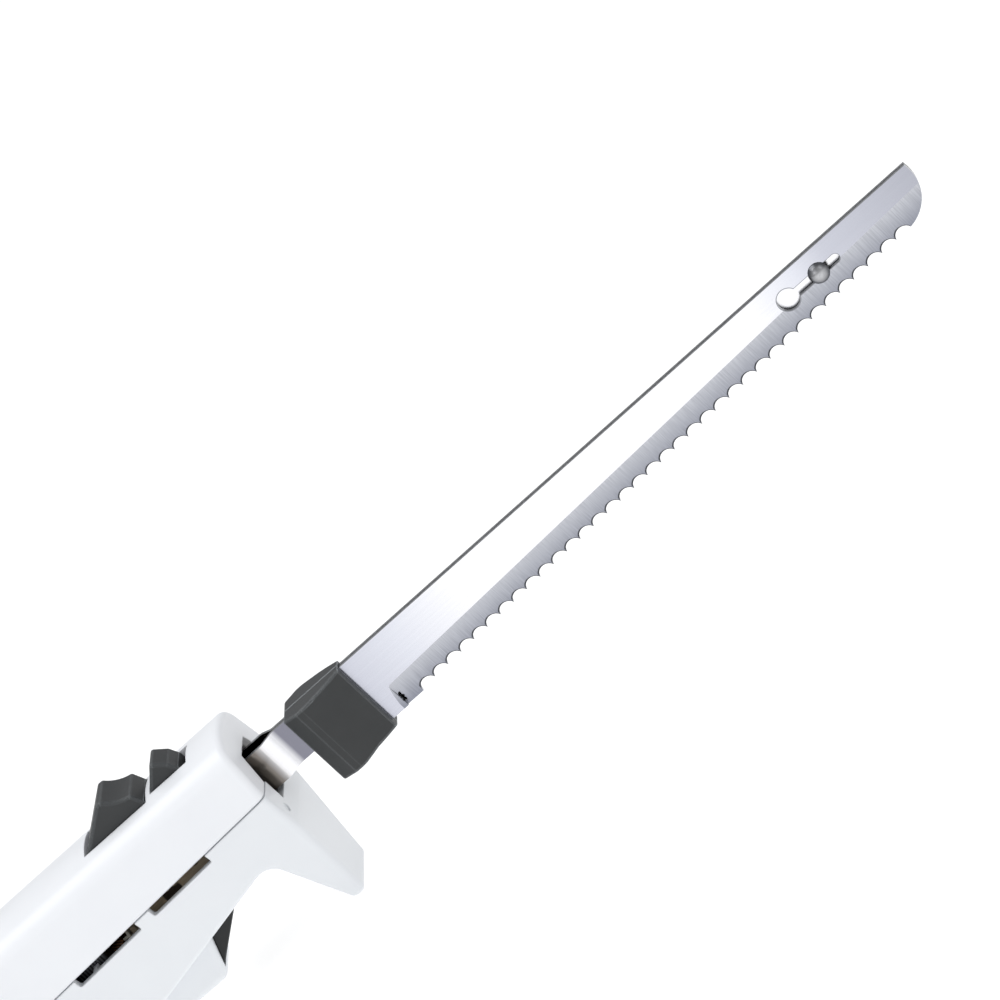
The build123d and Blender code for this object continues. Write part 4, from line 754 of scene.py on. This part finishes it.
# Inner faces of the tangs: painted shade between them, nearly black
towards_middle = add(
    tree, "ShaderNodeMath", multiply, _0=facing.outputs["Y"], _1=parts.outputs["Y"]
)
inward = add(
    tree, "ShaderNodeMath", below, _0=towards_middle.outputs["Value"], _1=-0.3 * mm
)
behind_collar = add(tree, "ShaderNodeMath", below, _0=parts.outputs["X"], _1=0.0)
tang_inner_shade = add(
    tree, "ShaderNodeMath", multiply, _0=inward.outputs["Value"],
    _1=behind_collar.outputs["Value"],
)
tone = add(
    tree, "ShaderNodeMix", colours, _0=tang_inner_shade.outputs["Value"],
    _6=tone.outputs[2], _7=linear("#2A2622"),
)
gloss = add(tree, "ShaderNodeMapRange", Value=ground.outputs["Value"], To_Min=0.2, To_Max=0.42)
scratch = add(
    tree, "ShaderNodeMix", {"data_type": "FLOAT"}, _0=ground.outputs["Value"],
    _2=rolled.outputs["Fac"], _3=lines.outputs["Fac"],
)
relief = add(
    tree, "ShaderNodeBump", Height=scratch.outputs[0], Strength=0.12, Distance=0.02 * mm
)
join(
    tree, shader, Base_Color=tone.outputs[2], Roughness=gloss.outputs["Result"],
    Normal=relief.outputs["Normal"], Metallic=1.0,
)
dress(["near_blade", "far_blade"], blade_steel)

# Rivet: stainless wire through the far blade, cold headed to a dome that the keyhole slides
# under, and tumbled to a soft polish with tiny dents.
rivet_steel, tree, shader = finish_named("stainless_cold_headed_tumbled")
place = add(tree, "ShaderNodeTexCoord").outputs["Object"]
dent_size = 0.6 * mm
crown_y = -1.9 * mm
dents = add(tree, "ShaderNodeTexNoise", Vector=place, Scale=1 / dent_size, Detail=2.0)
dented_tone = add(
    tree, "ShaderNodeMix", colours, _0=dents.outputs["Fac"],
    _6=linear("#D2D3D6"), _7=linear("#F6F6F8"),
)
# Painted highlight on the crown, and painted shade darkening the head towards its rim
off_crown = add(tree, "ShaderNodeVectorMath", distance, _0=place, _1=(rivet_x, crown_y, rivet_z))
towards_rim = add(
    tree, "ShaderNodeMapRange", Value=off_crown.outputs["Value"], From_Min=0.5 * mm,
    From_Max=2.5 * mm,
)
crown_highlight_rim_shade = add(
    tree, "ShaderNodeMix", colours, _0=towards_rim.outputs["Result"],
    _6=linear("#FFFFFF"), _7=linear("#707174"),
)
tone = add(
    tree, "ShaderNodeMix", multiplied, _0=1.0, _6=dented_tone.outputs[2], _7=crown_highlight_rim_shade.outputs[2]
)
relief = add(tree, "ShaderNodeBump", Height=dents.outputs["Fac"], Strength=0.2, Distance=0.03 * mm)
join(
    tree, shader, Base_Color=tone.outputs[2], Normal=relief.outputs["Normal"], Metallic=1.0,
    Roughness=0.3,
)
dress(["blade_rivet"], rivet_steel)
